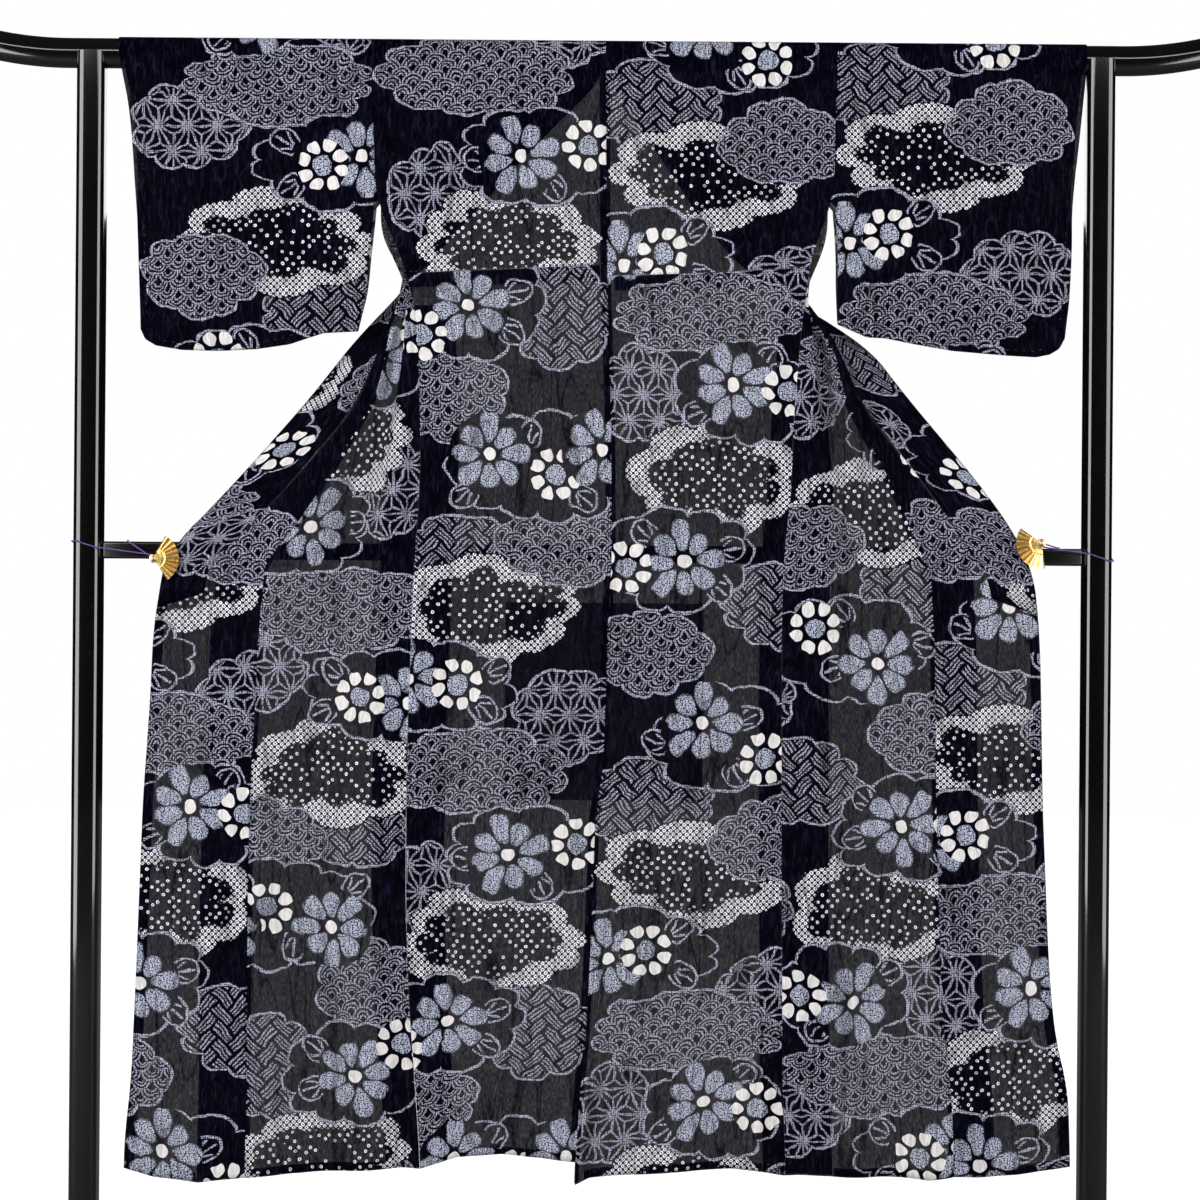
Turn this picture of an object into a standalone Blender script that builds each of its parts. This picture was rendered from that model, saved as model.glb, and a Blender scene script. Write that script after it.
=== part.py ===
"""A summer yukata hung on a lacquered kimono stand, seen from its back on the -Y side.

The top bar runs through both sleeves. The fronts are opened outwards like the covers of a book and
their collar ends are held beside the posts by two fan clips on cords. All sizes are in millimetres
and are turned into metres where the meshes are made. The floor is z = 0.
"""

import math

import bmesh
import bpy
import numpy as np

CLOTH = 1.4  # wall of a single cloth
COLLAR = 2.4  # wall of the folded collar band
SEAM = 0.4  # open gap between two sewn pieces

BAR_Z = 1679.0  # middle of the top bar
BAR_TALL = 42.0
BAR_DEEP = 30.0
BAR_HALF = 890.0  # half its length
BAR_LIFT = 22.0  # rise of its swept ends
WRAP_Y = 16.6  # the cloth's middle runs on this oval round the bar
WRAP_Z = 22.6

POST_X = 708.0
POST_WIDE = 39.0
POST_DEEP = 42.0
FOOT_LONG = 430.0
FOOT_WIDE = 46.0
FOOT_TALL = 48.0
CROSS_Z = 981.0
CROSS_TALL = 24.0
CROSS_DEEP = 16.0

HEM = 115.0  # nominal height of the hem
SEAM_TOP = 1335.0  # top of the side seam, the underarm opening lies above it
ARM_END = 1474.0  # lower end of the armhole seam
NECK_SEAM = 1690.0  # the collar seam at the back neck, on the far side of the bar
NECK_EDGE = 1655.0  # the collar's free edge at the back neck
KENSAKI = 1344.0  # pointed top of the overlap panel
COLLAR_LOW = 905.0  # lower end of the collar at its free edge
COLLAR_END = 925.0  # and at its seam
WAVES = 2.5  # folds across a front

# Tables of (height, place across) for the left and the right half.
SIDE = {
    "left": ((1698, -316), (1474, -307), (1400, -272), (1364, -256), (1308, -248), (1245, -243),
             (1140, -240), (1082, -240), (928, -249), (676, -256), (494, -256), (354, -251),
             (250, -243), (130, -234)),
    "right": ((1700, 338), (1479, 333), (1408, 306), (1338, 292), (1184, 279), (1058, 275),
              (995, 267), (918, 264), (568, 266), (243, 270), (141, 275)),
}
FREE_EDGE = {
    "left": ((1655, 14), (1580, -64), (1490, -149), (1291, -335), (1193, -403), (1085, -493),
             (995, -575), (985, -592), (936, -602), (869, -612), (785, -615), (631, -625),
             (452, -631), (245, -639), (156, -648), (117, -649)),
    "right": ((1655, 14), (1441, 162), (1369, 236), (1286, 385), (1199, 446), (1083, 540),
              (1012, 590), (961, 614), (915, 621), (844, 626), (641, 631), (427, 641),
              (355, 647), (302, 653), (231, 670), (129, 674)),
}
CENTRE = ((1697, 13), (1378, 17), (1154, 25), (972, 27), (888, 22), (776, 20), (664, 17),
          (636, 8), (412, 1), (286, -5), (202, -13), (108, -18))
CUFF = {
    "left": ((1702, -671), (1664, -667), (1639, -660), (1597, -652), (1513, -646), (1387, -641),
             (1286, -637)),
    "right": ((1701, 688), (1664, 686), (1614, 681), (1533, 674), (1490, 669), (1418, 671),
              (1315, 666), (1287, 659)),
}
SLEEVE_INNER = {
    "left": ((1474, -307.5), (1429, -312), (1395, -316), (1335, -320), (1291, -335)),
    "right": ((1479, 333.5), (1416, 340), (1347, 340), (1300, 342)),
}

# Tables of (share of the way from the armhole to the cuff, height of the sleeve's lower edge).
SLEEVE_LOW = {
    "left": ((0.0, 1291), (0.16, 1288), (0.31, 1272), (0.46, 1265), (0.63, 1262), (0.81, 1263),
             (0.93, 1269), (0.98, 1278), (1.0, 1292)),
    "right": ((0.0, 1306), (0.13, 1288), (0.21, 1287), (0.34, 1279), (0.51, 1270), (0.75, 1264),
              (0.88, 1262), (0.94, 1266), (0.98, 1274), (1.0, 1289)),
}

# Tables of (place across, height of the hem).
HEM_LINE = {
    "left": ((-649, 117), (-608, 105), (-544, 97), (-484, 106), (-401, 109), (-341, 117),
             (-263, 120), (-235, 117), (-184, 136), (-120, 141), (-63, 137), (-18, 130)),
    "right": ((-18, 98), (2, 107), (76, 113), (202, 124), (244, 120), (274, 114), (336, 117),
              (387, 113), (476, 109), (512, 116), (547, 114), (601, 117), (674, 129)),
}

# Tables of (height, value) used for both halves.
BACK_HANG = ((1679, -16.6), (1474, -16.6), (1365, -19), (1200, -22), (981, -25), (600, -22),
             (110, -18))
BACK_SWELL = ((1470, 0), (1300, 2), (981, 3), (600, 5), (110, 9))
EDGE_DEPTH = ((1640, 16.6), (1580, 18), (1490, 30), (1420, 50), (1365, 62), (1310, 54), (1240, 28),
              (1193, 8), (1085, -14), (995, -24), (900, -25), (600, -22), (110, -18))
FOLD_TURN = ((1650, 0), (1600, 0.45), (1550, 0.9), (1490, 1.2), (1420, 1.35), (1365, 1.32),
             (1310, 1.3), (1240, 1.25), (1193, 1.15), (1085, 0.85), (995, 0.42), (900, 0.36),
             (600, 0.35), (110, 0.4))
COLLAR_SPAN = ((1690, 0), (1679, 11), (1655, 36), (1600, 68), (1560, 76), (1480, 72), (1400, 52),
               (1365, 44), (1310, 52), (1240, 66), (1193, 74), (1000, 78), (960, 64), (925, 62))

# Rows of the fronts from the bar to the hem, shared by the panels that meet at a seam.
FRONT_ROWS = (1660, 1640, 1610, 1580, 1550, 1520, 1495, 1474, 1450, 1428, 1410, 1393, 1376, 1364,
              1354, 1344, 1336, 1328, 1319, 1310, 1290, 1265, 1235, 1200, 1155, 1105, 1055, 1000,
              960, 925, 905, 860, 740, 590, 440, 290, 190, 115)
BACK_ROWS = (115, 190, 290, 440, 636, 730, 820, 912, 1000, 1105, 1235, 1290, 1328, 1360, 1393, 1428,
             1474, 1580)
LINING_ROWS = (636, 730, 820, 912)
COLUMNS = 17  # points across a body panel
COLLAR_SHARES = (0, 0.16, 0.4, 0.7, 1)  # points across the collar
WRAP_ROWS = (180, 150, 120, 90, 60, 29.13, 14, 0)

LACQUER = ((0.012, 0.012, 0.014), 0.12, 0.0)
CLOTH_BLUE = ((0.045, 0.042, 0.07), 0.85, 0.0)
GOLD = ((0.83, 0.6, 0.24), 0.28, 1.0)
PURPLE = ((0.16, 0.06, 0.3), 0.7, 0.0)


# Reading the tables

def curve(table, at):
    """The table's value at a height, eased over the 60 mm round it."""
    places, values = np.array(sorted(table), float).T
    return float(np.mean(np.interp(at + np.linspace(-30, 30, 5), places, values)))


def straight(table, at):
    """The table's value at a place, with straight runs between its rows."""
    places, values = np.array(sorted(table), float).T
    return float(np.interp(at, places, values))


def smooth(low, high, at):
    """Rises softly from 0 at the first value to 1 at the second."""
    share = np.clip((at - low) / (high - low), 0, 1)
    return share * share * (3 - 2 * share)


def outward(side):
    return -1.0 if side == "left" else 1.0


# The hanging cloth as surfaces

def wrap_depth(z):
    """How far the cloth stands off the bar's middle plane on its upper half."""
    share = min(max((z - BAR_Z) / WRAP_Z, 0), 1)
    return WRAP_Y * math.sqrt(1 - share * share)


def hem_shift(side, x, z):
    """Moves the lowest rows of a panel on to the hem line."""
    fade = max(0.0, 1 - (z - HEM) / 250)
    return z + (straight(HEM_LINE[side], x) - HEM) * fade


def back_depth(x, z):
    """The back layer's place in depth, with its shallow folds."""
    if z > BAR_Z:
        return -wrap_depth(z)
    swell = straight(BACK_SWELL, z)
    wave = 0.6 * math.sin(x / 47 + z / 310) + 0.4 * math.sin(x / 23 - z / 190 + 1)
    return straight(BACK_HANG, z) + swell * wave


def side_edge(side, z):
    """The outer edge of a front: down the armhole, free under the arm, then the side seam."""
    out = outward(side)
    seam = curve(SIDE[side], z)
    free = float(smooth(SEAM_TOP, ARM_END, z))
    arm = curve(SIDE[side], max(z, ARM_END))
    low = np.array([seam + out * 1.3, back_depth(seam, z)])
    high = np.array([arm, wrap_depth(z)])
    return low + (high - low) * free


def front_edge(side, z):
    """The free edge of a front, which is the collar's edge down to its end."""
    if z < NECK_EDGE:
        return np.array([curve(FREE_EDGE[side], z), curve(EDGE_DEPTH, z)])
    edge, centre = curve(FREE_EDGE[side], NECK_EDGE), curve(CENTRE, z)
    return np.array([edge + (centre - edge) * smooth(NECK_EDGE, NECK_SEAM, z), wrap_depth(z)])


PATHS = {}


def front_path(side, z):
    """One level cut through a front: its surplus width lies in rounded folds along a line that
    turns from inwards, over backwards, to outwards as it goes down."""
    if (side, z) not in PATHS:
        out = outward(side)
        start, end = side_edge(side, z), front_edge(side, z)
        share = np.linspace(0, 1, 241)
        ease = smooth(0, 0.08, share) * (1 - 0.85 * smooth(0.55, 0.75, share))
        turn = -curve(FOLD_TURN, z) * ease * np.sin(2 * math.pi * WAVES * share + z / 900)
        steps = np.stack([np.cos(turn), np.sin(turn)], 1)
        run = np.vstack([[0, 0], np.cumsum((steps[1:] + steps[:-1]) / 2, 0)])
        chord = (end - start) * (out, 1)
        held = complex(*chord) / complex(*run[-1])
        points = np.array([complex(*p) * held for p in run])
        points = np.stack([points.real * out, points.imag], 1) + start
        arcs = np.concatenate([[0], np.cumsum(np.linalg.norm(np.diff(points, axis=0), axis=1))])
        PATHS[side, z] = arcs, points
    return PATHS[side, z]


def front_point(side, z, arc):
    """The point of a front at a height and a distance of cloth from its side edge."""
    arcs, points = front_path(side, z)
    x = float(np.interp(arc, arcs, points[:, 0]))
    y = float(np.interp(arc, arcs, points[:, 1]))
    return x, y, hem_shift(side, x, z)


def front_normal(side, z, arc):
    """The front's direction at a point, from its neighbours on the surface."""
    whole = front_path(side, z)[0][-1]
    level = [np.array(front_point(side, z, a)) for a in (max(arc - 1.5, 0), min(arc + 1.5, whole))]
    share = arc / whole
    up = [np.array(front_point(side, h, share * front_path(side, h)[0][-1])) for h in (z - 2, z + 2)]
    normal = np.cross(up[1] - up[0], level[1] - level[0]) * -outward(side)
    return normal / np.linalg.norm(normal)


def front_row(side, z, arcs):
    """Points of a front at one height, each with the front's direction there."""
    return [(*front_point(side, z, arc), *front_normal(side, z, arc)) for arc in arcs]


def seams(side, z):
    """Distances of cloth from the side edge to the overlap seam, the collar seam and the edge."""
    whole = front_path(side, z)[0][-1]
    if z <= COLLAR_LOW:
        return whole * 0.595, whole, whole
    collar = whole - straight(COLLAR_SPAN, z)
    overlap = 84 * (1372 - z) / 447 if z <= KENSAKI else 0
    return collar - overlap, collar, whole


# Making meshes

def add_mesh(name, verts, faces, look):
    """Adds one named object with its own material."""
    mesh = bpy.data.meshes.new(name)
    mesh.from_pydata([tuple(c * 0.001 for c in v) for v in verts], [], faces)
    mesh.validate()
    item = bpy.data.objects.new(name, mesh)
    bpy.context.collection.objects.link(item)
    colour, rough, metal = look
    material = bpy.data.materials.new(name + "_mat")
    material.use_nodes = True
    shader = material.node_tree.nodes["Principled BSDF"]
    shader.inputs["Base Color"].default_value = (*colour, 1)
    shader.inputs["Roughness"].default_value = rough
    shader.inputs["Metallic"].default_value = metal
    mesh.materials.append(material)
    face_outwards(mesh)
    return item


def face_outwards(mesh):
    work = bmesh.new()
    work.from_mesh(mesh)
    bmesh.ops.recalc_face_normals(work, faces=work.faces)
    if work.calc_volume(signed=True) < 0:
        bmesh.ops.reverse_faces(work, faces=work.faces)
    work.to_mesh(mesh)
    work.free()


def grid_normals(grid, ring):
    """The sheet's direction at each of its points."""
    along = np.gradient(grid, axis=0)
    if ring:
        across = np.roll(grid, -1, 1) - np.roll(grid, 1, 1)
    else:
        across = np.gradient(grid, axis=1)
    normal = np.cross(along, across)
    return normal / np.linalg.norm(normal, axis=2, keepdims=True)


def sheet(name, grid, under, over, look, ring=False):
    """A closed wall made from a grid of points moved out both ways, open at its ends."""
    rows, cols = len(grid), len(grid[0])
    normal = grid_normals(np.array([[p[:3] for p in row] for row in grid], float), ring)
    known = [(r, c) for r in range(rows) for c in range(cols) if len(grid[r][c]) == 6]
    agree = sum(float(np.dot(grid[r][c][3:], normal[r, c])) for r, c in known)
    for r, c in known:
        normal[r, c] = np.array(grid[r][c][3:]) * math.copysign(1, agree)
    grid = np.array([[p[:3] for p in row] for row in grid], float)
    skins = [grid - normal * under, grid + normal * over]
    verts = np.concatenate([skin.reshape(-1, 3) for skin in skins])
    half = rows * cols

    def corner(row, col, skin):
        return skin * half + row * cols + col % cols

    faces = []

    def add_rim(one, two):
        faces.append([corner(*one, 0), corner(*two, 0), corner(*two, 1)])
        faces.append([corner(*one, 0), corner(*two, 1), corner(*one, 1)])

    spans = cols if ring else cols - 1
    for row in range(rows - 1):
        for col in range(spans):
            a, b, c, d = (row, col), (row, col + 1), (row + 1, col + 1), (row + 1, col)
            for half_quad in ((a, b, c), (a, c, d)):
                faces.append([corner(r, c, 1) for r, c in half_quad])
                faces.append([corner(r, c, 0) for r, c in reversed(half_quad)])
    for col in range(spans):
        for row in (0, rows - 1):
            add_rim((row, col), (row, col + 1))
    if not ring:
        for row in range(rows - 1):
            for col in (0, cols - 1):
                add_rim((row, col), (row + 1, col))
    return add_mesh(name, verts.tolist(), faces, look)


def box_verts(lower, upper):
    return [(x, y, z) for x in (lower[0], upper[0]) for y in (lower[1], upper[1])
            for z in (lower[2], upper[2])]


BOX_FACES = [(0, 1, 3, 2), (4, 6, 7, 5), (0, 4, 5, 1), (2, 3, 7, 6), (0, 2, 6, 4), (1, 5, 7, 3)]


def soft_block(name, lower, upper, radius, look, along):
    """A squared timber whose edges along one axis are rounded and whose others are eased."""
    item = add_mesh(name, box_verts(lower, upper), BOX_FACES, look)
    work = bmesh.new()
    work.from_mesh(item.data)
    axis = "xyz".index(along)
    long_edges = [e for e in work.edges if abs((e.verts[0].co - e.verts[1].co)[axis]) > 1e-6]
    bmesh.ops.bevel(work, geom=long_edges, offset=radius * 0.001, segments=3, profile=0.5,
                    affect="EDGES")
    work.to_mesh(item.data)
    work.free()
    face_outwards(item.data)
    return item


def tube(name, path, radius, sides, look, closed=False):
    """A round cord along a path of points."""
    path = np.array(path, float)
    count = len(path)
    verts = []
    side_hint = np.array([0, 0.6, 1.0])
    for i, point in enumerate(path):
        before = path[i - 1] if closed or i else point
        after = path[(i + 1) % count] if closed or i < count - 1 else point
        run = (after - before) / np.linalg.norm(after - before)
        first = np.cross(run, side_hint)
        first /= np.linalg.norm(first)
        second = np.cross(run, first)
        for k in range(sides):
            turn = 2 * math.pi * k / sides
            verts.append(point + radius * (first * math.cos(turn) + second * math.sin(turn)))
    faces = []
    for i in range(count if closed else count - 1):
        j = (i + 1) % count
        for k in range(sides):
            m = (k + 1) % sides
            faces.append((i * sides + k, i * sides + m, j * sides + m, j * sides + k))
    if not closed:
        faces.append(tuple(range(sides)))
        faces.append(tuple((count - 1) * sides + k for k in reversed(range(sides))))
    return add_mesh(name, [tuple(v) for v in verts], faces, look)


def combine(base, other, kind):
    """Joins a helper solid to an object, or cuts it out, and removes the helper."""
    step = base.modifiers.new("step", "BOOLEAN")
    step.operation = kind
    step.solver = "EXACT"
    step.object = other
    bpy.context.view_layer.update()
    graph = bpy.context.evaluated_depsgraph_get()
    result = bpy.data.meshes.new_from_object(base.evaluated_get(graph))
    base.modifiers.clear()
    result.materials.clear()
    result.materials.append(base.data.materials[0])
    base.data = result
    bpy.data.objects.remove(other)


# The body panels: back and front in one length of cloth over the shoulder

def back_row(side, z):
    """The back's points at one height, from the side seam to the centre seam."""
    inner = curve(CENTRE, z) + outward(side) * SEAM / 2
    across = np.linspace(curve(SIDE[side], z), inner, COLUMNS)
    return [(x, back_depth(x, z), hem_shift(side, x, z)) for x in across]


def body(side):
    out = outward(side)
    rows = [back_row(side, z) for z in BACK_ROWS]
    for degrees in WRAP_ROWS:
        turn = math.radians(degrees)
        z = BAR_Z + WRAP_Z * math.sin(turn)
        inner = curve(CENTRE, z) + out * SEAM / 2
        if degrees < 29:
            inner = front_edge(side, z)[0] + out * (SEAM / 2 + straight(COLLAR_SPAN, z))
        across = np.linspace(curve(SIDE[side], z), inner, COLUMNS)
        rows.append([(x, WRAP_Y * math.cos(turn), z) for x in across])
    for z in FRONT_ROWS:
        overlap, _, whole = seams(side, z)
        rows.append(front_row(side, z, np.linspace(0, overlap - SEAM / 2, COLUMNS)))
    sheet("body_" + side, rows, CLOTH / 2, CLOTH / 2, CLOTH_BLUE)


# The overlap panels along the front edges, pointed at the top under the collar

def overlap_panel(side):
    rows = []
    for z in FRONT_ROWS:
        if z <= KENSAKI:
            inner, outer, _ = seams(side, z)
            gap = SEAM / 2 if z > COLLAR_LOW else 0
            rows.append(front_row(side, z, np.linspace(inner + SEAM / 2, outer - gap, 5)))
    sheet("okumi_" + side, rows, CLOTH / 2, CLOTH / 2, CLOTH_BLUE)


# The collar: one folded band from the left front round the back neck to the right front

def collar_rows(side):
    """Rows from the lower end up towards the neck, each from the seam to the free edge."""
    rows = []
    for z in sorted(FRONT_ROWS + (BAR_Z, BAR_Z + WRAP_Z * math.sin(math.radians(14)))):
        if z < COLLAR_END:
            continue
        low = z if z <= 1560 else NECK_EDGE - (NECK_SEAM - z) * (NECK_EDGE - 1560) / (NECK_SEAM - 1560)
        if z == COLLAR_END:
            low = COLLAR_LOW + 1.5
        row = []
        for share in COLLAR_SHARES:
            level = z + (low - z) * share
            whole = front_path(side, level)[0][-1]
            seam = whole - straight(COLLAR_SPAN, z) + SEAM / 2
            row += front_row(side, level, [seam + (whole - seam) * share])
        if z == COLLAR_END:
            row = [(x, y, height + 0.6, *normal) for x, y, height, *normal in row]
        rows.append(row)
    return rows


def collar():
    middle = curve(CENTRE, NECK_SEAM)
    neck = []
    for share in COLLAR_SHARES:
        z = NECK_SEAM + (NECK_EDGE - NECK_SEAM) * share
        neck.append((middle, wrap_depth(z), z))
    rows = collar_rows("left") + [neck] + collar_rows("right")[::-1]
    sheet("collar", rows, CLOTH / 2, COLLAR - CLOTH / 2, CLOTH_BLUE)


# The sleeves: a cloth folded over the bar, sewn along the bottom and the lower part of the cuff

def sleeve_rings():
    """Places round the sleeve: depth side, share of the height, or degrees over the bar."""
    shares = (0.0, 0.012, 0.05, 0.12, 0.25, 0.42, 0.6, 0.8)
    turns = (180, 145, 112, 90, 68, 35, 0)
    ring = [("hang", -1, share) for share in shares]
    ring += [("wrap", turn, 0) for turn in turns]
    ring += [("hang", 1, share) for share in shares[:0:-1]]
    return ring


def sleeve(side):
    out = outward(side)
    rows = []
    for share in (0, 0.1, 0.22, 0.35, 0.5, 0.65, 0.78, 0.88, 0.94, 0.975, 1):
        low = straight(SLEEVE_LOW[side], share)
        row = []
        for kind, value, height in sleeve_rings():
            if kind == "wrap":
                turn = math.radians(value)
                z = BAR_Z + WRAP_Z * math.sin(turn)
                y = WRAP_Y * math.cos(turn)
            else:
                z = low + (BAR_Z - low) * height
                y = sleeve_depth(share, z, z - low) * value
            inner = curve(SIDE[side], z) if z >= ARM_END else curve(SLEEVE_INNER[side], z)
            inner = out * max(abs(inner), abs(curve(SIDE[side], max(z, ARM_END)))) + out * SEAM
            outer = curve(CUFF[side], z)
            row.append((inner + (outer - inner) * share, y, z))
        rows.append(row)
    sheet("sleeve_" + side, rows, CLOTH / 2, CLOTH / 2, CLOTH_BLUE, ring=True)


def sleeve_depth(share, z, above):
    """Half the distance between the sleeve's two layers."""
    inside = straight(((1474, WRAP_Y), (1400, 15), (1300, 11)), z)
    edge = straight(((1600, WRAP_Y), (1500, 11), (1450, 1.1)), z)
    shut = float(smooth(0.7, 1, share))
    room = min(1.0, max(above, 0) / 50) ** 0.6
    return max((inside * (1 - shut) + edge * shut) * room, min(1.1, max(above, 0)))


# The square lining behind the seat

def seat_lining():
    rows = []
    for z in LINING_ROWS:
        left, right = back_row("left", z)[8:], back_row("right", z)[:6:-1]
        rows.append([(x, y + CLOTH + 0.4, height) for x, y, height in left + right])
    sheet("seat_lining", rows, CLOTH / 2, CLOTH / 2, CLOTH_BLUE)


# The stand

def top_bar():
    rows = []
    for x in (-890, -870, -840, -800, -760, -700, 0, 700, 760, 800, 840, 870, 890):
        lift = BAR_LIFT * (max(0, abs(x) - 740) / (BAR_HALF - 740)) ** 2
        row = []
        for k in range(24):
            turn = 2 * math.pi * k / 24
            row.append((x, BAR_DEEP / 2 * math.cos(turn), BAR_Z + lift + BAR_TALL / 2 * math.sin(turn)))
        rows.append(row)
    verts = [v for row in rows for v in row]
    faces = []
    for i in range(len(rows) - 1):
        for k in range(24):
            m = (k + 1) % 24
            faces.append((i * 24 + k, i * 24 + m, (i + 1) * 24 + m, (i + 1) * 24 + k))
    faces.append(tuple(range(24)))
    faces.append(tuple((len(rows) - 1) * 24 + k for k in range(24)))
    add_mesh("top_bar", verts, faces, LACQUER)


def post(side):
    x = outward(side) * POST_X
    wide, deep = POST_WIDE / 2, POST_DEEP / 2
    item = soft_block("post_" + side, (x - wide, -deep, FOOT_TALL + 0.3), (x + wide, deep, BAR_Z),
                      8, LACQUER, "z")
    notch = []
    for end in (x - 40, x + 40):
        for k in range(24):
            turn = 2 * math.pi * k / 24
            notch.append((end, (BAR_DEEP / 2 + 0.5) * math.cos(turn),
                          BAR_Z + (BAR_TALL / 2 + 0.5) * math.sin(turn)))
    faces = [(k, (k + 1) % 24, 24 + (k + 1) % 24, 24 + k) for k in range(24)]
    faces += [tuple(range(24)), tuple(range(24, 48))]
    combine(item, add_mesh("notch", notch, faces, LACQUER), "DIFFERENCE")


def foot(side):
    x = outward(side) * POST_X
    wide, long = FOOT_WIDE / 2, FOOT_LONG / 2
    profile = ((-long, 0), (long, 0), (long, 22), (long - 14, 34), (long - 60, 43), (70, FOOT_TALL),
               (-70, FOOT_TALL), (60 - long, 43), (14 - long, 34), (-long, 22))
    verts = [(x - wide, y, z) for y, z in profile] + [(x + wide, y, z) for y, z in profile]
    count = len(profile)
    faces = [(k, (k + 1) % count, count + (k + 1) % count, count + k) for k in range(count)]
    faces += [tuple(range(count)), tuple(range(count, 2 * count))]
    item = add_mesh("foot_" + side, verts, faces, LACQUER)
    work = bmesh.new()
    work.from_mesh(item.data)
    rims = [e for e in work.edges if abs(e.verts[0].co.x - e.verts[1].co.x) < 1e-6
            and max(v.co.z for v in e.verts) > 0.02]
    bmesh.ops.bevel(work, geom=rims, offset=0.003, segments=1, affect="EDGES")
    work.to_mesh(item.data)
    work.free()
    face_outwards(item.data)


def cross_bar():
    half = POST_X - POST_WIDE / 2 - 0.3
    soft_block("cross_bar", (-half, -CROSS_DEEP / 2, CROSS_Z - CROSS_TALL / 2),
               (half, CROSS_DEEP / 2, CROSS_Z + CROSS_TALL / 2), 4, LACQUER, "x")


# The fan clips: a pleated leaf before the collar, a jaw behind it, both on one pin

FANS = {
    "left": {"x": -611.0, "z": 969.0, "from": -57.0, "to": 63.0, "cord_front": 24.0, "cord_rear": -11.0},
    "right": {"x": 625.0, "z": 1000.0, "from": 145.0, "to": 278.0, "cord_front": -24.0, "cord_rear": 2.0},
}
FAN_RADIUS = 37.0
FAN_HUB = 7.0
LEAF_Y = -31.0
JAW_Y = -19.5


def fan(side):
    place = FANS[side]
    pleats = 20
    rows = []
    for radius in (FAN_HUB, 19, FAN_RADIUS):
        row = []
        for k in range(pleats + 1):
            turn = math.radians(place["from"] + (place["to"] - place["from"]) * k / pleats)
            rise = (1 if k % 2 else -1) * 1.1 * radius / FAN_RADIUS
            row.append((place["x"] + radius * math.cos(turn), LEAF_Y + rise,
                        place["z"] + radius * math.sin(turn)))
        rows.append(row)
    leaf = sheet("fan_" + side, rows, 0.6, 0.6, GOLD)
    disc = tube("hub", [(place["x"], LEAF_Y - 1.4, place["z"]), (place["x"], LEAF_Y + 1.4, place["z"])],
                FAN_HUB + 2, 20, GOLD)
    combine(leaf, disc, "UNION")
    pin = tube("pin", [(place["x"], LEAF_Y - 5, place["z"]), (place["x"], JAW_Y + 1, place["z"])],
               3.0, 12, GOLD)
    combine(leaf, pin, "UNION")
    middle = math.radians((place["from"] + place["to"]) / 2)
    tip = (place["x"] + 34 * math.cos(middle), place["z"] + 34 * math.sin(middle))
    jaw = tube("jaw", [(place["x"], JAW_Y, place["z"]), (tip[0], JAW_Y, tip[1])], 1.6, 8, GOLD)
    combine(leaf, jaw, "UNION")


def cord(side):
    """A loop from the clip's pin, round the post and back."""
    out = outward(side)
    place = FANS[side]
    wide, deep = POST_WIDE / 2 + 1.6, POST_DEEP / 2 + 1.6
    x, z = place["x"], place["z"]
    front, rear = z + place["cord_front"], z + place["cord_rear"]
    inner, outer = out * (POST_X - wide), out * (POST_X + wide)
    y = (LEAF_Y + JAW_Y) / 2
    turn = math.copysign(1, place["cord_front"])
    loop = [
        (x - out * 4.6, y, z), (x - out * 3.2, y, z + 3.3 * turn), (x, y, z + 4.7 * turn),
        (x + out * 8, y + 0.5, z + 6 * turn),
        (inner - out * 6, -deep - 0.6, front - 3 * turn), (inner + out * 7, -deep, front),
        (outer - out * 7, -deep, front), (outer - out * 2, 3 - deep, front),
        (outer, 9 - deep, front), (outer, deep - 9, rear + 2), (outer - out * 2, deep - 3, rear + 1),
        (outer - out * 7, deep, rear), (inner + out * 7, deep, rear), (inner - out * 9, deep - 9, rear),
        (inner - out * 30, 0, rear + 1), (x + out * 10, y + 3, (z + rear) / 2 - 2 * turn),
        (x + out * 1, y, z - 4.8 * turn), (x - out * 3.2, y, z - 3.3 * turn),
    ]
    tube("cord_" + side, loop, 1.0, 8, PURPLE, closed=True)


for old in list(bpy.data.objects):
    bpy.data.objects.remove(old)
for half in ("left", "right"):
    body(half)
    overlap_panel(half)
    sleeve(half)
    post(half)
    foot(half)
    fan(half)
    cord(half)
collar()
seat_lining()
top_bar()
cross_bar()
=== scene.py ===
"""A sheer summer yukata hung back side forward on a black lacquered kimono stand.

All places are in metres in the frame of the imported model, with the floor at z = 0 and the viewer on
the -Y side. The tables of the hanging cloth are in millimetres.
"""

import math

import bmesh
import bpy
import numpy as np
from mathutils import Matrix, Vector
from mathutils.bvhtree import BVHTree


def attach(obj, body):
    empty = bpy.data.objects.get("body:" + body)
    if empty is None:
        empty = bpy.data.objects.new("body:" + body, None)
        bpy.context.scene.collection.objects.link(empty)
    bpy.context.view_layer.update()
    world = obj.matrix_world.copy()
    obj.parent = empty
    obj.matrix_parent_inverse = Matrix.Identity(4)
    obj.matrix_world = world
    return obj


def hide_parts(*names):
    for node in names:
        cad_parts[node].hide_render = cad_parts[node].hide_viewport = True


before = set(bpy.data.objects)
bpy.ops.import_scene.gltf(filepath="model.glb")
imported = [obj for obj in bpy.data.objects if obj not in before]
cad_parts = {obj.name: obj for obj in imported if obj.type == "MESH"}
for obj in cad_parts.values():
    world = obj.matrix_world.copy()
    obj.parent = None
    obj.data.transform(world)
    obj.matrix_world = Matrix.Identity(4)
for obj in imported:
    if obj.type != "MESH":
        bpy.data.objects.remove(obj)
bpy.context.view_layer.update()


# How a material is written here: its numbers and places are objects, and a formula of them adds the
# nodes that work it out.

def feed(socket, value):
    """Links a value of the node tree to a socket, or sets the socket to a plain value."""
    if isinstance(value, Number):
        socket.id_data.links.new(value.socket, socket)
    else:
        socket.default_value = value


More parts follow.
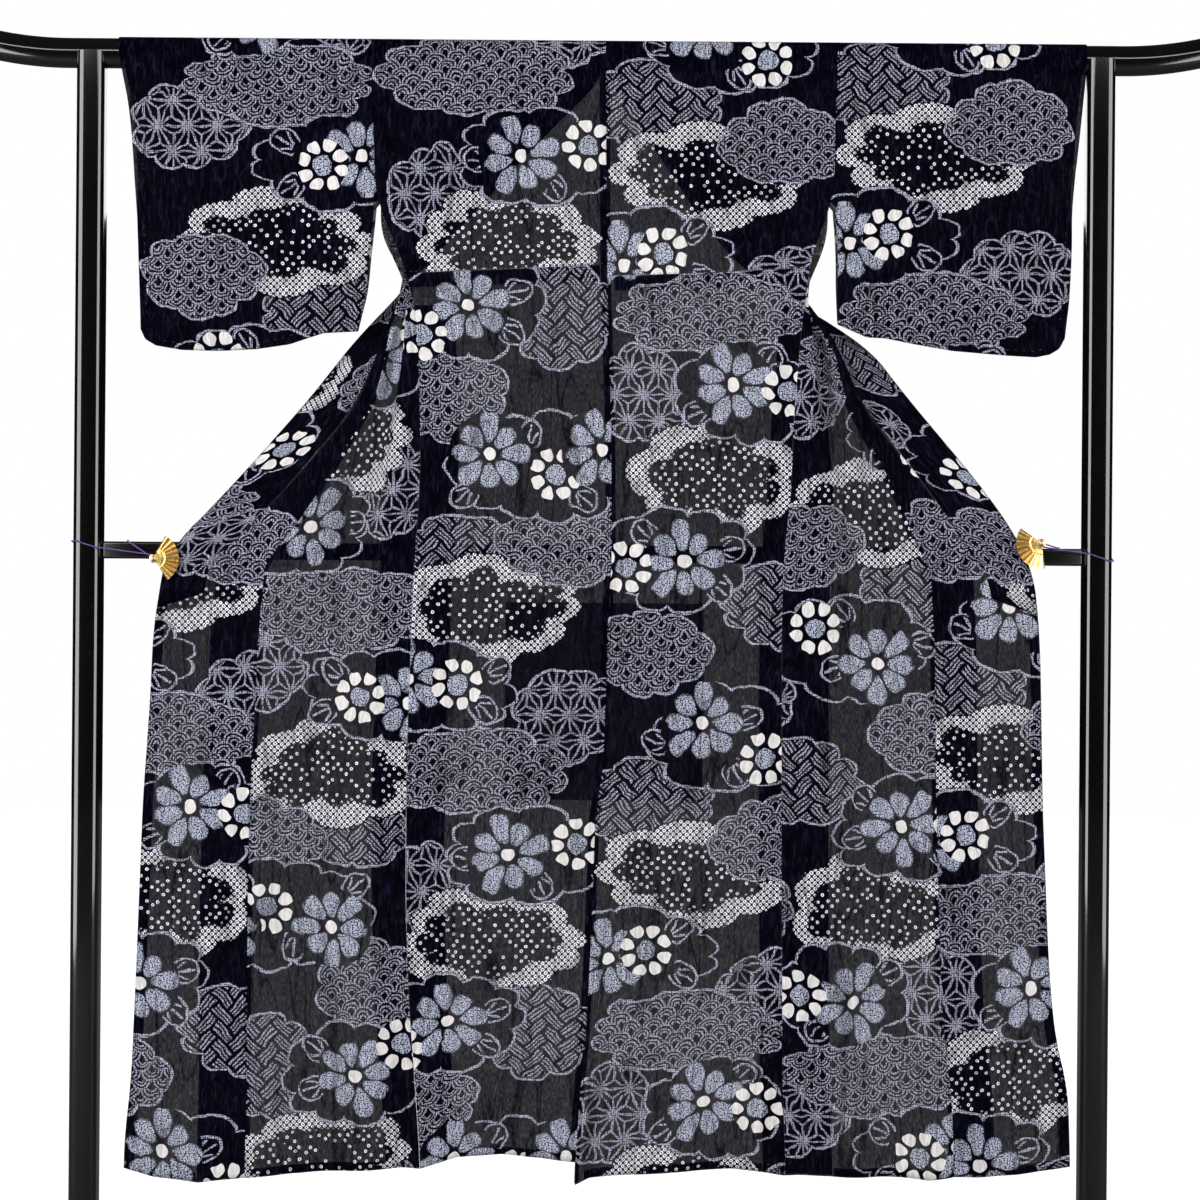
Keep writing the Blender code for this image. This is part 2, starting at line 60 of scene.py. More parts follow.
def sign(operation, turned=False):
    """The method behind a sign or a name of an operation."""
    def method(self, *others):
        return self.work(operation, *((*others, self) if turned else (self, *others)))
    return method


class Number:
    """A number that a node tree works out."""

    kind = "ShaderNodeMath"

    def __init__(self, socket):
        self.socket = socket

    def work(self, operation, *values):
        """Adds one operation on plain values and values of the tree."""
        node = self.socket.id_data.nodes.new(self.kind)
        node.operation = operation
        for socket, value in zip(node.inputs, values):
            feed(socket, value)
        return value_of(node.outputs["Value" if operation == "LENGTH" else 0])

    __add__ = __radd__ = sign("ADD")
    __sub__ = sign("SUBTRACT")
    __rsub__ = sign("SUBTRACT", turned=True)
    __mul__ = __rmul__ = sign("MULTIPLY")
    __truediv__ = sign("DIVIDE")
    __mod__ = sign("FLOORED_MODULO")
    __pow__ = sign("POWER")
    __lt__ = sign("LESS_THAN")
    __gt__ = sign("GREATER_THAN")
    __abs__ = sign("ABSOLUTE")
    arctan2 = sign("ARCTAN2")
    compare = sign("COMPARE")
    cosine = sign("COSINE")
    floor = sign("FLOOR")
    fract = sign("FRACT")
    fraction = sign("FRACTION")
    length = sign("LENGTH")
    maximum = sign("MAXIMUM")
    minimum = sign("MINIMUM")
    pingpong = sign("PINGPONG")
    sine = sign("SINE")
    smooth_max = sign("SMOOTH_MAX")
    smooth_min = sign("SMOOTH_MIN")
    wrap = sign("WRAP")


class Place(Number):
    """A place, a direction or a colour that a node tree works out."""

    kind = "ShaderNodeVectorMath"


def value_of(socket):
    """The number or place that a socket gives."""
    return Number(socket) if socket.type == "VALUE" else Place(socket)


def tree_of(*values):
    """The node tree that the values belong to, as far as they aren't plain ones."""
    return next(value.socket.id_data for value in values if isinstance(value, Number))


def split(place):
    """The x, y and z of a place."""
    node = tree_of(place).nodes.new("ShaderNodeSeparateXYZ")
    feed(node.inputs[0], place)
    return [Number(socket) for socket in node.outputs]


def joined(x, y, z=0.0):
    """The place at x, y and z."""
    node = tree_of(x, y, z).nodes.new("ShaderNodeCombineXYZ")
    for socket, value in zip(node.inputs, (x, y, z)):
        feed(socket, value)
    return Place(node.outputs[0])


def blend(share, low, high, kind="FLOAT"):
    """Mixes two numbers, places or colours by a share."""
    node = tree_of(share, low, high).nodes.new("ShaderNodeMix")
    node.data_type = kind
    label = {"FLOAT": "Float", "VECTOR": "Vector", "RGBA": "Color"}[kind]
    sockets = {socket.identifier: socket for socket in (*node.inputs, *node.outputs)}
    feed(sockets["Factor_Float"], share)
    feed(sockets["A_" + label], low)
    feed(sockets["B_" + label], high)
    return value_of(sockets["Result_" + label])


def dress(node, **settings):
    """Feeds some of a node's sockets, whose names have _ for each space."""
    for label, value in settings.items():
        feed(node.inputs[label.replace("_", " ")], value)


def noise(place, scale=1.0, detail=2.0, distortion=0.0, dimensions="2D", output="Fac"):
    """Smooth noise over a place."""
    node = tree_of(place).nodes.new("ShaderNodeTexNoise")
    node.noise_dimensions = dimensions
    dress(node, Scale=scale, Detail=detail, Distortion=distortion, Vector=place)
    return value_of(node.outputs[0 if output == "Fac" else output])


def cells(place, size, randomness):
    """How far a place is from the middle of its cell in a grid, and that cell's chances."""
    node = tree_of(place).nodes.new("ShaderNodeTexVoronoi")
    node.voronoi_dimensions = "2D"
    dress(node, Scale=1 / size, Randomness=randomness, Vector=place)
    return Number(node.outputs["Distance"]), Place(node.outputs["Color"])


def bumped(height, strength, distance):
    """The surface's direction over small heights."""
    node = tree_of(height).nodes.new("ShaderNodeBump")
    dress(node, Strength=strength, Distance=distance, Height=height)
    return Place(node.outputs[0])


def new_material(name, **settings):
    """A material, and its shader with some settings."""
    material = bpy.data.materials.new(name)
    material.use_nodes = True
    shader = material.node_tree.nodes["Principled BSDF"]
    dress(shader, **settings)
    return material, shader


def add_object(name, data):
    """Adds an object to the scene."""
    item = bpy.data.objects.new(name, data)
    bpy.context.scene.collection.objects.link(item)
    return item


def object_place(material):
    """The place on the object, before it is moved."""
    return Place(material.node_tree.nodes.new("ShaderNodeTexCoord").outputs["Object"])


# The camera and the studio.
# The picture was taken square on from about 3.2 m with a short telephoto lens, and the camera leans
# by less than half a degree. The floor is pale and the wall behind is white. Two large cards show
# only as reflections in the lacquer, and the two narrow lights beside them only light the cloth.

camera_data = bpy.data.cameras.new("camera")
camera_data.lens = 68.3
camera_data.sensor_width = 36
camera = add_object("camera", camera_data)
camera.location = (0.011, -3.2, 0.916)
camera.rotation_euler = (math.radians(90), math.radians(-0.45), 0)
bpy.context.scene.camera = camera
bpy.context.scene.view_settings.view_transform = "Standard"

world = bpy.data.worlds.new("studio")
bpy.context.scene.world = world
world.use_nodes = True
studio = world.node_tree
studio.nodes.clear()
seen = studio.nodes.new("ShaderNodeBackground")
dress(seen, Color=(1, 1, 1, 1), Strength=1.0)
fill = studio.nodes.new("ShaderNodeBackground")
direction = Place(studio.nodes.new("ShaderNodeTexCoord").outputs["Generated"])
ceiling = studio.nodes.new("ShaderNodeMapRange")
ceiling.interpolation_type = "SMOOTHSTEP"
dress(ceiling, From_Min=0.15, From_Max=0.75, To_Min=0.04, To_Max=0.5, Value=split(direction)[2])
ray = studio.nodes.new("ShaderNodeLightPath").outputs
in_gloss = Number(ray["Is Glossy Ray"])
dress(fill, Color=(0.96, 0.97, 1, 1), Strength=Number(ceiling.outputs["Result"]) * (in_gloss * -0.9 + 1.0))
choice = studio.nodes.new("ShaderNodeMixShader")
result = studio.nodes.new("ShaderNodeOutputWorld")
studio.links.new(ray["Is Camera Ray"], choice.inputs[0])
studio.links.new(fill.outputs[0], choice.inputs[1])
studio.links.new(seen.outputs[0], choice.inputs[2])
studio.links.new(choice.outputs[0], result.inputs[0])

# (name, place, turned in degrees, width, height, watts, what it lights)
for name, place, turn, width, height, power, lights in (
        ("soft_left", (-2.3, -2.2, 1.5), (82, 0, -46), 0.24, 2.8, 61, "matt"),
        ("soft_right", (2.4, -2.2, 1.5), (82, 0, 47), 0.2, 2.8, 42, "matt"),
        ("soft_front", (0.0, -3.6, 2.75), (63, 0, 0), 4.2, 0.3, 40, "both"),
        ("soft_behind", (0.0, 3.0, 2.6), (-58, 0, 0), 2.6, 1.4, 30, "both"),
        ("card_left", (-2.6, -1.9, 1.2), (90, 0, -50), 2.4, 3.2, 240, "gloss"),
        ("card_right", (2.6, -1.9, 1.2), (90, 0, 50), 2.4, 3.2, 200, "gloss")):
    light = bpy.data.lights.new(name, "AREA")
    light.shape = "RECTANGLE"
    light.size = width
    light.size_y = height
    light.energy = power
    lamp = add_object(name, light)
    lamp.location = place
    lamp.rotation_euler = tuple(math.radians(v) for v in turn)
    lamp.visible_glossy = lights != "matt"
    lamp.visible_diffuse = lights != "gloss"

floor_mesh = bpy.data.meshes.new("floor")
round_floor = bmesh.new()
bmesh.ops.create_circle(round_floor, cap_ends=True, segments=96, radius=7.0)
round_floor.to_mesh(floor_mesh)
round_floor.free()
floor = add_object("floor", floor_mesh)
pale, pale_shader = new_material("pale floor", Base_Color=(0.25, 0.25, 0.25, 1), Roughness=0.7,
                                 Specular_IOR_Level=0.1, Emission_Color=(1, 1, 1, 1))
looked_at = pale.node_tree.nodes.new("ShaderNodeLightPath").outputs["Is Camera Ray"]
dress(pale_shader, Emission_Strength=Number(looked_at))
floor_mesh.materials.append(pale)


# The stand: a bar with swept-up ends on two posts, a low tie bar and two runners on the floor.
# It is turned and planed wood under black lacquer polished to a mirror. The bar lies in the posts'
# forked tops and the posts are tenoned into the runners.

def faces_out(mesh):
    """Turns a closed mesh's faces outwards."""
    work = bmesh.new()
    work.from_mesh(mesh)
    bmesh.ops.recalc_face_normals(work, faces=work.faces)
    if work.calc_volume(signed=True) < 0:
        bmesh.ops.reverse_faces(work, faces=work.faces)
    work.to_mesh(mesh)
    work.free()


def make_piece(name, verts, faces, material, smooth_angle=35.0):
    """Adds a closed mesh with its faces out and its sharp edges kept sharp."""
    mesh = bpy.data.meshes.new(name)
    mesh.from_pydata([tuple(v) for v in verts], [], faces)
    mesh.validate()
    faces_out(mesh)
    mesh.materials.append(material)
    mesh.shade_smooth()
    mesh.set_sharp_from_angle(angle=math.radians(smooth_angle))
    return add_object(name, mesh)


def circle(sides):
    """The sine and cosine of even steps round a circle, cosine first."""
    return [(math.cos(turn), math.sin(turn)) for turn in (2 * math.pi * k / sides for k in range(sides))]


def tube_faces(rings, sides):
    """The faces of a closed tube whose points come ring by ring."""
    faces = []
    for i in range(rings - 1):
        for k in range(sides):
            low, high = i * sides, (i + 1) * sides
            after = (k + 1) % sides
            faces.append((low + k, low + after, high + after, high + k))
    last = (rings - 1) * sides
    return faces + [tuple(range(sides)), tuple(range(last, last + sides))]


def round_edges(piece, radius, segments, least_angle=30):
    """Rounds off a piece's edges and shades it smooth."""
    edge = piece.modifiers.new("rounding", "BEVEL")
    edge.width = radius
    edge.segments = segments
    edge.limit_method = "ANGLE"
    edge.angle_limit = math.radians(least_angle)
    settle(piece)


def settle(piece):
    """Applies a piece's modifiers and shades it smooth."""
    graph = bpy.context.evaluated_depsgraph_get()
    done = bpy.data.meshes.new_from_object(piece.evaluated_get(graph))
    piece.modifiers.clear()
    piece.data = done
    done.shade_smooth()
    done.set_sharp_from_angle(angle=math.radians(40))


lacquer, gloss = new_material("black lacquer")
here = object_place(lacquer)
ripple = noise(here, 9, dimensions="3D")
specks = (noise(here, 420, 3, dimensions="3D") - 0.66).smooth_max(0.0, 0.01)
dress(gloss, Base_Color=blend(specks * 3.0, (0.0035, 0.0032, 0.0034, 1), (0.08, 0.08, 0.08, 1), "RGBA"),
      Roughness=ripple * 0.04 + 0.06, Normal=bumped(ripple, 0.04, 0.002))

BAR_Z = 1.679
BAR_DEEP, BAR_TALL = 0.015, 0.021
BAR_END, BEND_START = 0.890, 0.740
BAR_SIDES = 48
bar_stations = [-BAR_END, -0.8893, -0.8875, -0.8845, -0.880] + [-0.87 + 0.01 * i for i in range(14)]
bar_stations += [-0.72, -0.6, -0.3, 0.0]
bar_stations += [-x for x in bar_stations[-2::-1]]
bar_verts = []
for x in bar_stations:
    lift = 0.022 * (max(0.0, abs(x) - BEND_START) / 0.150) ** 2
    tip = max(0.0, abs(x) - 0.880) / 0.010
    shrink = math.sqrt(max(0.0, 1 - tip * tip)) * 0.28 + 0.72 if tip < 1 else 0.62
    bar_verts += [(x, BAR_DEEP * shrink * deep, BAR_Z + lift + BAR_TALL * shrink * tall)
                  for deep, tall in circle(BAR_SIDES)]
bar = make_piece("lacquered_top_bar", bar_verts, tube_faces(len(bar_stations), BAR_SIDES), lacquer, 50)
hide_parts("top_bar")
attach(bar, "root")

POST_X = 0.708
POST_WIDE, POST_DEEP, POST_ROUND = 0.0195, 0.021, 0.012  # half the post's sizes and its corners' radius
SADDLE_GAP = 0.0005  # between the bar and its fork
RUNNER_HALF, RUNNER_TOP = 0.023, 0.0483
RUNNER_PROFILE = (
    (-0.215, 0), (0.215, 0), (0.215, 0.008), (0.201, 0.014), (0.155, 0.026), (0.10, 0.040),
    (0.05, 0.048), (-0.05, 0.048), (-0.10, 0.040), (-0.155, 0.026), (-0.201, 0.014), (-0.215, 0.008))
post_outline = []
for across, deep, start in ((1, 1, 0), (-1, 1, 90), (-1, -1, 180), (1, -1, 270)):
    for degrees in range(start, start + 91, 9):
        turn = math.radians(degrees)
        post_outline.append((across * (POST_WIDE - POST_ROUND) + POST_ROUND * math.cos(turn),
                             deep * (POST_DEEP - POST_ROUND) + POST_ROUND * math.sin(turn)))

for side, x in (("left", -POST_X), ("right", POST_X)):
    post_verts = [(x + across, deep, z) for z in (RUNNER_TOP, BAR_Z) for across, deep in post_outline]
    post = make_piece("lacquered_post_" + side, post_verts, tube_faces(2, len(post_outline)), lacquer)
    saddle_verts = [(end, (BAR_DEEP + SADDLE_GAP) * deep, BAR_Z + (BAR_TALL + SADDLE_GAP) * tall)
                    for end in (x - 0.04, x + 0.04) for deep, tall in circle(64)]
    saddle = make_piece("saddle_cut", saddle_verts, tube_faces(2, 64), lacquer)
    fork = post.modifiers.new("saddle", "BOOLEAN")
    fork.operation = "DIFFERENCE"
    fork.object = saddle
    settle(post)
    bpy.data.objects.remove(saddle)
    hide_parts("post_" + side)
    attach(post, "root")

    runner_verts = [(end, y, z) for end in (x - RUNNER_HALF, x + RUNNER_HALF) for y, z in RUNNER_PROFILE]
    runner_faces = tube_faces(2, len(RUNNER_PROFILE))
    runner = make_piece("lacquered_runner_" + side, runner_verts, runner_faces, lacquer)
    round_edges(runner, 0.003, 4, 50)
    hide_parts("foot_" + side)
    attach(runner, "root")

TIE_END, TIE_HALF, TIE_FOOT, TIE_TOP = 0.6882, 0.008, 0.969, 0.993
tie_profile = ((-TIE_HALF, TIE_FOOT), (TIE_HALF, TIE_FOOT), (TIE_HALF, TIE_TOP), (-TIE_HALF, TIE_TOP))
tie_verts = [(x, y, z) for x in (-TIE_END, TIE_END) for y, z in tie_profile]
tie = make_piece("lacquered_tie_bar", tie_verts, tube_faces(2, 4), lacquer)
round_edges(tie, 0.0035, 5)
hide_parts("cross_bar")
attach(tie, "root")


# The cloth: one narrow bolt of crinkled sheer cotton and hemp, dyed navy over tied and resisted dots.
# The bolt is 360 mm wide. Its motifs come again every 1004 mm, as outlined clouds filled with old
# geometric patterns, clouds of tied dots, and flowers with eight petals.

REPEAT = 1004.0
BANDS = 6
WAVES_KIND, HEMP_KIND, FENCE_KIND, DOTS_KIND, BARE_KIND, LEAF_KIND, BIG_KIND, SMALL_KIND = range(1, 9)

# (kind, across the bolt, along the bolt, half its width, half its height, lobes, turned), in millimetres
CHART_RIGHT = (
    (FENCE_KIND, 77, 147, 92, 64, 9, 1),
    (FENCE_KIND, 259, 872, 93, 62, 9, 1),
    (HEMP_KIND, 278, 407, 84, 60, 9, 1),
    (HEMP_KIND, 56, 581, 64, 70, 8, 1),
    (WAVES_KIND, 330, 700, 64, 56, 8, 1),
    (HEMP_KIND, 327, 990, 62, 52, 8, 1),
    (WAVES_KIND, 70, 941, 84, 60, 9, -1),
    (WAVES_KIND, 150, 465, 131, 60, 11, 1),
    (DOTS_KIND, 157, 245, 140, 76, 10, 1),
    (DOTS_KIND, 157, 695, 118, 82, 9, 1),
    (WAVES_KIND, 259, 199, 88, 60, 9, 1),
    (BARE_KIND, 80, 357, 104, 68, 10, 1),
    (BARE_KIND, 105, 809, 106, 74, 10, 1),
    (BARE_KIND, 199, 577, 97, 74, 10, 1),
    (BARE_KIND, 190, 57, 116, 76, 11, 1),
    (LEAF_KIND, 132, 322, 23, 18, 0, 0.6),
    (LEAF_KIND, 140, 386, 23, 18, 0, -0.5),
    (LEAF_KIND, 57, 776, 23, 18, 0, 2.4),
    (LEAF_KIND, 174, 796, 23, 18, 0, 0.2),
    (LEAF_KIND, 162, 850, 23, 18, 0, -0.8),
    (LEAF_KIND, 131, 606, 23, 18, 0, 3.6),
    (LEAF_KIND, 232, 532, 23, 18, 0, 0.9),
    (LEAF_KIND, 84, 62, 23, 18, 0, 2.8),
    (LEAF_KIND, 208, 28, 23, 18, 0, 0.4),
    (LEAF_KIND, 196, 104, 23, 18, 0, -1.0),
    (BIG_KIND, 35, 366, 58, 58, 0, 0.2),
    (SMALL_KIND, 88, 353, 36, 36, 0, 0.5),
    (BIG_KIND, 111, 813, 58, 58, 0, 0.1),
    (SMALL_KIND, 31, 822, 36, 36, 0, 0.3),
    (BIG_KIND, 182, 566, 58, 58, 0, 0.35),
    (SMALL_KIND, 258, 575, 36, 36, 0, 0.1),
    (BIG_KIND, 146, 34, 58, 58, 0, 0.0),
    (SMALL_KIND, 236, 84, 36, 36, 0, 0.4),
)
CHART_LEFT = (
    (FENCE_KIND, 157, 800, 80, 52, 8, 1),
    (HEMP_KIND, 311, 25, 79, 67, 9, 1),
    (HEMP_KIND, 120, 273, 66, 68, 8, 1),
    (WAVES_KIND, 133, 581, 84, 70, 9, -1),
    (FENCE_KIND, 297, 473, 76, 74, 9, 1),
    (HEMP_KIND, 30, 690, 56, 62, 8, 1),
    (WAVES_KIND, 182, 105, 138, 62, 11, 1),
    (DOTS_KIND, 222, 340, 126, 78, 10, 1),
    (DOTS_KIND, 192, 882, 126, 78, 10, 1),
    (WAVES_KIND, 300, 787, 98, 62, 9, 1),
    (BARE_KIND, 126, 992, 112, 64, 10, 1),
    (BARE_KIND, 269, 221, 119, 70, 11, 1),
    (BARE_KIND, 175, 459, 100, 74, 10, 1),
    (BARE_KIND, 266, 683, 130, 78, 11, 1),
    (LEAF_KIND, 206, 966, 23, 18, 0, 0.5),
    (LEAF_KIND, 190, 1022, 23, 18, 0, -0.7),
    (LEAF_KIND, 182, 226, 23, 18, 0, 3.1),
    (LEAF_KIND, 286, 262, 23, 18, 0, -1.2),
    (LEAF_KIND, 232, 440, 23, 18, 0, 0.3),
    (LEAF_KIND, 222, 494, 23, 18, 0, -0.6),
    (LEAF_KIND, 246, 638, 23, 18, 0, 1.4),
    (LEAF_KIND, 154, 724, 23, 18, 0, 3.8),
    (LEAF_KIND, 320, 726, 23, 18, 0, -0.6),
    (BIG_KIND, 84, 980, 57, 57, 0, 0.1),
    (SMALL_KIND, 152, 987, 36, 36, 0, 0.3),
    (BIG_KIND, 240, 220, 58, 58, 0, 0.3),
    (SMALL_KIND, 335, 205, 36, 36, 0, 0.1),
    (BIG_KIND, 166, 457, 57, 57, 0, 0.2),
    (SMALL_KIND, 98, 500, 36, 36, 0, 0.2),
    (BIG_KIND, 190, 665, 57, 57, 0, 0.0),
    (SMALL_KIND, 282, 693, 36, 36, 0, 0.4),
    (BIG_KIND, 347, 658, 57, 57, 0, 0.25),
)

VECTOR_SOCKETS = ("Place", "Half", "Bolt")


def new_group(name, inputs, outputs):
    """An empty shader group: itself, the values that it is given and the sockets to be fed."""
    group = bpy.data.node_groups.new(name, "ShaderNodeTree")
    for in_out, labels in (("INPUT", inputs), ("OUTPUT", outputs)):
        for label in labels:
            kind = "NodeSocketVector" if label in VECTOR_SOCKETS else "NodeSocketFloat"
            group.interface.new_socket(label, in_out=in_out, socket_type=kind)
    given = group.nodes.new("NodeGroupInput").outputs
    ready = group.nodes.new("NodeGroupOutput").inputs
    return group, [value_of(given[label]) for label in inputs], ready


def placed(group, **inputs):
    """Places a group in the tree of its inputs and gives its outputs by name."""
    node = tree_of(*inputs.values()).nodes.new("ShaderNodeGroup")
    node.node_tree = group
    dress(node, **inputs)
    return {socket.name: value_of(socket) for socket in node.outputs}


# A cloud with a scalloped rim: how deep a place lies inside it.
cloud, (place, half, lobes, start), ready = new_group(
    "scalloped cloud", ("Place", "Half", "Lobes", "Start"), ("Depth",))
scaled = place / half
reach = scaled.length()
steep = (scaled / half).length()
x, y, z = split(scaled)
angle = y.arctan2(x)
bent = (angle * 2.0 + start).sine() * 0.7 + start
lobe = abs((angle * (lobes * 0.5) + bent).sine())
rim = lobe ** 0.6 * 0.15 + 0.89 + (angle * 3.0 + bent).cosine() * 0.05
feed(ready["Depth"], (rim - reach) * reach / steep.maximum(0.0001))

# Waves of the blue ocean: sloping rows of fans, each of three arcs, the lower over the upper.
SCALE_RADIUS = 15.4
SCALE_RISE = 12.6
waves, (place,), ready = new_group("wave scales", ("Place",), ("Line",))
x, y, z = split(place)
level = (x * 0.17 + y) / -SCALE_RISE
row = level.floor()
above = (level - row) * SCALE_RISE
near = (row % 2.0 * SCALE_RADIUS + x).wrap(SCALE_RADIUS, -SCALE_RADIUS)
far = (near + SCALE_RADIUS).wrap(SCALE_RADIUS, -SCALE_RADIUS)
low_fan = joined(far, above + SCALE_RISE).length()
mid_fan = joined(near, above).length()
top_fan = joined(far, above - SCALE_RISE).length()
fan_arc = blend(mid_fan < SCALE_RADIUS, top_fan, mid_fan)
fan_arc = blend(low_fan < SCALE_RADIUS, fan_arc, low_fan)
drawn = ((fan_arc + 0.4).pingpong(2.4) < 1.28) * (fan_arc > 2.2)
under = (mid_fan > SCALE_RADIUS) * (low_fan > SCALE_RADIUS)
feed(ready["Line"], drawn * (1.0 - under))

# Hemp leaf: twelve rays from each point of a triangular lattice.
STAR = 41.0
TALL = STAR * math.sqrt(3) / 2
hemp, (place,), ready = new_group("hemp leaf", ("Place",), ("Line",))
corner, opposite = (STAR / 2, TALL, 1.0), (-STAR / 2, -TALL, -1.0)
one = place.wrap(corner, opposite)
two = (place + (STAR / 2, TALL, 0)).wrap(corner, opposite)
spoke = blend(two.length() < one.length(), one, two, "VECTOR")
x, y, z = split(spoke)
off = y.arctan2(x).pingpong(math.radians(15)).sine() * spoke.length()
feed(ready["Line"], off < 1.55)

# Cypress fence: strips of three lines woven over and under on the slant.
STRIP = 16.6 * math.sqrt(2)
fence, (place,), ready = new_group("cypress fence", ("Place",), ("Line",))
x, y, z = split(place)
first = (x + y) / STRIP
second = (x - y) / STRIP
step = (first.floor() + second.floor()) % 4.0
over = step < 1.5
strand = blend(over, first, second)
length = blend(over, second, first).fract() + step % 2.0
aside = (strand.fract() - 0.5) * 3.5
three = (aside.pingpong(0.5) < 0.28) * (abs(aside) < 1.4)
feed(ready["Line"], three * (length.pingpong(1.0) > 0.13))

# Tied dots: small rings packed on the slant along the cloud's rim and scattered inside it.
DOT = 6.3 * math.sqrt(2)
SCATTER = 10.4
dots, (place, depth), ready = new_group("tied dots", ("Place", "Depth"), ("Ring",))
x, y, z = split(place)
rim_depth = (x * 0.045 + y * 0.03).sine() * 6.0 + (x * 0.11).sine() * 3.0 + depth
slant = joined(x + y, x - y)
middle = (slant / (DOT, DOT, 1.0)).fraction() - (0.5, 0.5, 0.0)
off_x, off_y, z = split(abs(middle))
round_reach = middle.length()
dot_reach = blend(0.7, off_x.maximum(off_y), round_reach)
packed = (rim_depth * -0.14 + 4.7).minimum(1.0).minimum(depth * 0.25 + 0.15)
ring = (dot_reach < packed * 0.41) * (round_reach > 0.15)
away, chances = cells(slant * (0.7, 0.7, 0.0), SCATTER, 0.4)
away = away * SCATTER
sparse = (rim_depth * -0.15 + 6.8).maximum(split(chances)[0] > 0.30)
loose = (rim_depth * 0.15 - 4.3).minimum(sparse).minimum(1.0)
lone_ring = (away < loose * 2.3) * (away > 0.9)
feed(ready["Ring"], ring.maximum(lone_ring))

# The flowers: eight petals round a middle, large with grey petals or small with white ones.
flower, (place, small), ready = new_group("eight petals", ("Place", "Small"), ("Grey", "White"))
x, y, z = split(place)
span = place.length()
bearing = y.arctan2(x)
turned = bearing.wrap(-math.pi / 8, math.pi / 8)
growth = ((bearing - turned) * 3.1 + 0.6).sine() * blend(small, 0.13, 0.04) + 1.0
petal_x = (span * turned.cosine() / growth - blend(small, 34.0, 28.5)) / blend(small, 18.5, 10.0)
petal_wide = petal_x * blend(small, 3.4, 0.8) + blend(small, 11.6, 8.6)
petal = joined(petal_x, span * turned.sine() / petal_wide).length()
soft_petal = (petal * -5.0 + 5.6).maximum(0.0).minimum(1.0)
in_middle = span < blend(small, 8.6, 14.0)
feed(ready["Grey"], blend(small, soft_petal, in_middle))
feed(ready["White"], blend(small, in_middle, petal < 1.0))

# An outlined leaf, open at its stalk, with three veins that spread from there along x.
leaf, (place, depth), ready = new_group("outlined leaf", ("Place", "Depth"), ("Line",))
x, y, z = split(place)
rim_line = (depth < 3.6) * (x > -17.0)
from_stalk = x + 18.0
spread = y.arctan2(from_stalk)
vein = spread.pingpong(0.26).sine() * joined(from_stalk, y).length()
within = (depth > 6.4) * (abs(spread) < 0.72) * (from_stalk > 7.0)
feed(ready["Line"], rim_line.maximum(within * (vein < 1.7)))

# The weave: a fine dot grain over all that is dyed pale, the crinkle, the long creases and the uneven
# threads. The crinkle and the creases also give the painted shade and sheen in the cloth's colour.
weave, (bolt,), ready = new_group(
    "crinkled weave", ("Bolt",), ("Grain", "Stipple", "Crinkle", "Crease", "Thread"))
for output, size, scatter, ring, fade, top in (("Grain", 3.1, 0.35, 0.29, -5.0, 1.2),
                                               ("Stipple", 2.3, 0.8, 0.0, -2.3, 1.4)):
    away, chances = cells(bolt, size, scatter)
    pale_share = (abs(away - ring) * fade + top).smooth_max(0.05, 0.1)
    feed(ready[output], pale_share.minimum(1.1))
feed(ready["Crinkle"], noise(bolt * (0.22, 0.05, 0.0), distortion=0.8))
crease = noise(bolt * (0.036, 0.0045, 0.0), detail=1.0, distortion=0.4)
feed(ready["Crease"], (abs(crease - 0.5) * 16.0 + 0.5).smooth_min(1.0, 0.2))
feed(ready["Thread"], noise(bolt * (0.8, 0.15, 0.0), detail=1.0))

# The hand: lines tied by eye wander a millimetre or two from the drawn pattern.
wobble, (bolt,), ready = new_group("hand wobble", ("Bolt",), ("Place",))
sway = noise(bolt, 0.045, 1.0, output="Color")
feed(ready["Place"], bolt + (sway - (0.5, 0.5, 0.5)) * (8, 8, 0))

GROUND = (0.0013, 0.0011, 0.0054, 1)
# The navy's lighter tone along the crinkle's ridges is a painted sheen, not a second dye.
GROUND_SHEEN = (0.0100, 0.0086, 0.0225, 1)
LINE_DYE = (0.75, 0.74, 0.93, 1)
DOT_DYE = (0.95, 0.94, 1.0, 1)
PETAL_DYE = (0.74, 0.78, 0.97, 1)
WHITE_DYE = (0.93, 0.89, 0.87, 1)
NO_WRAP = 9999.0


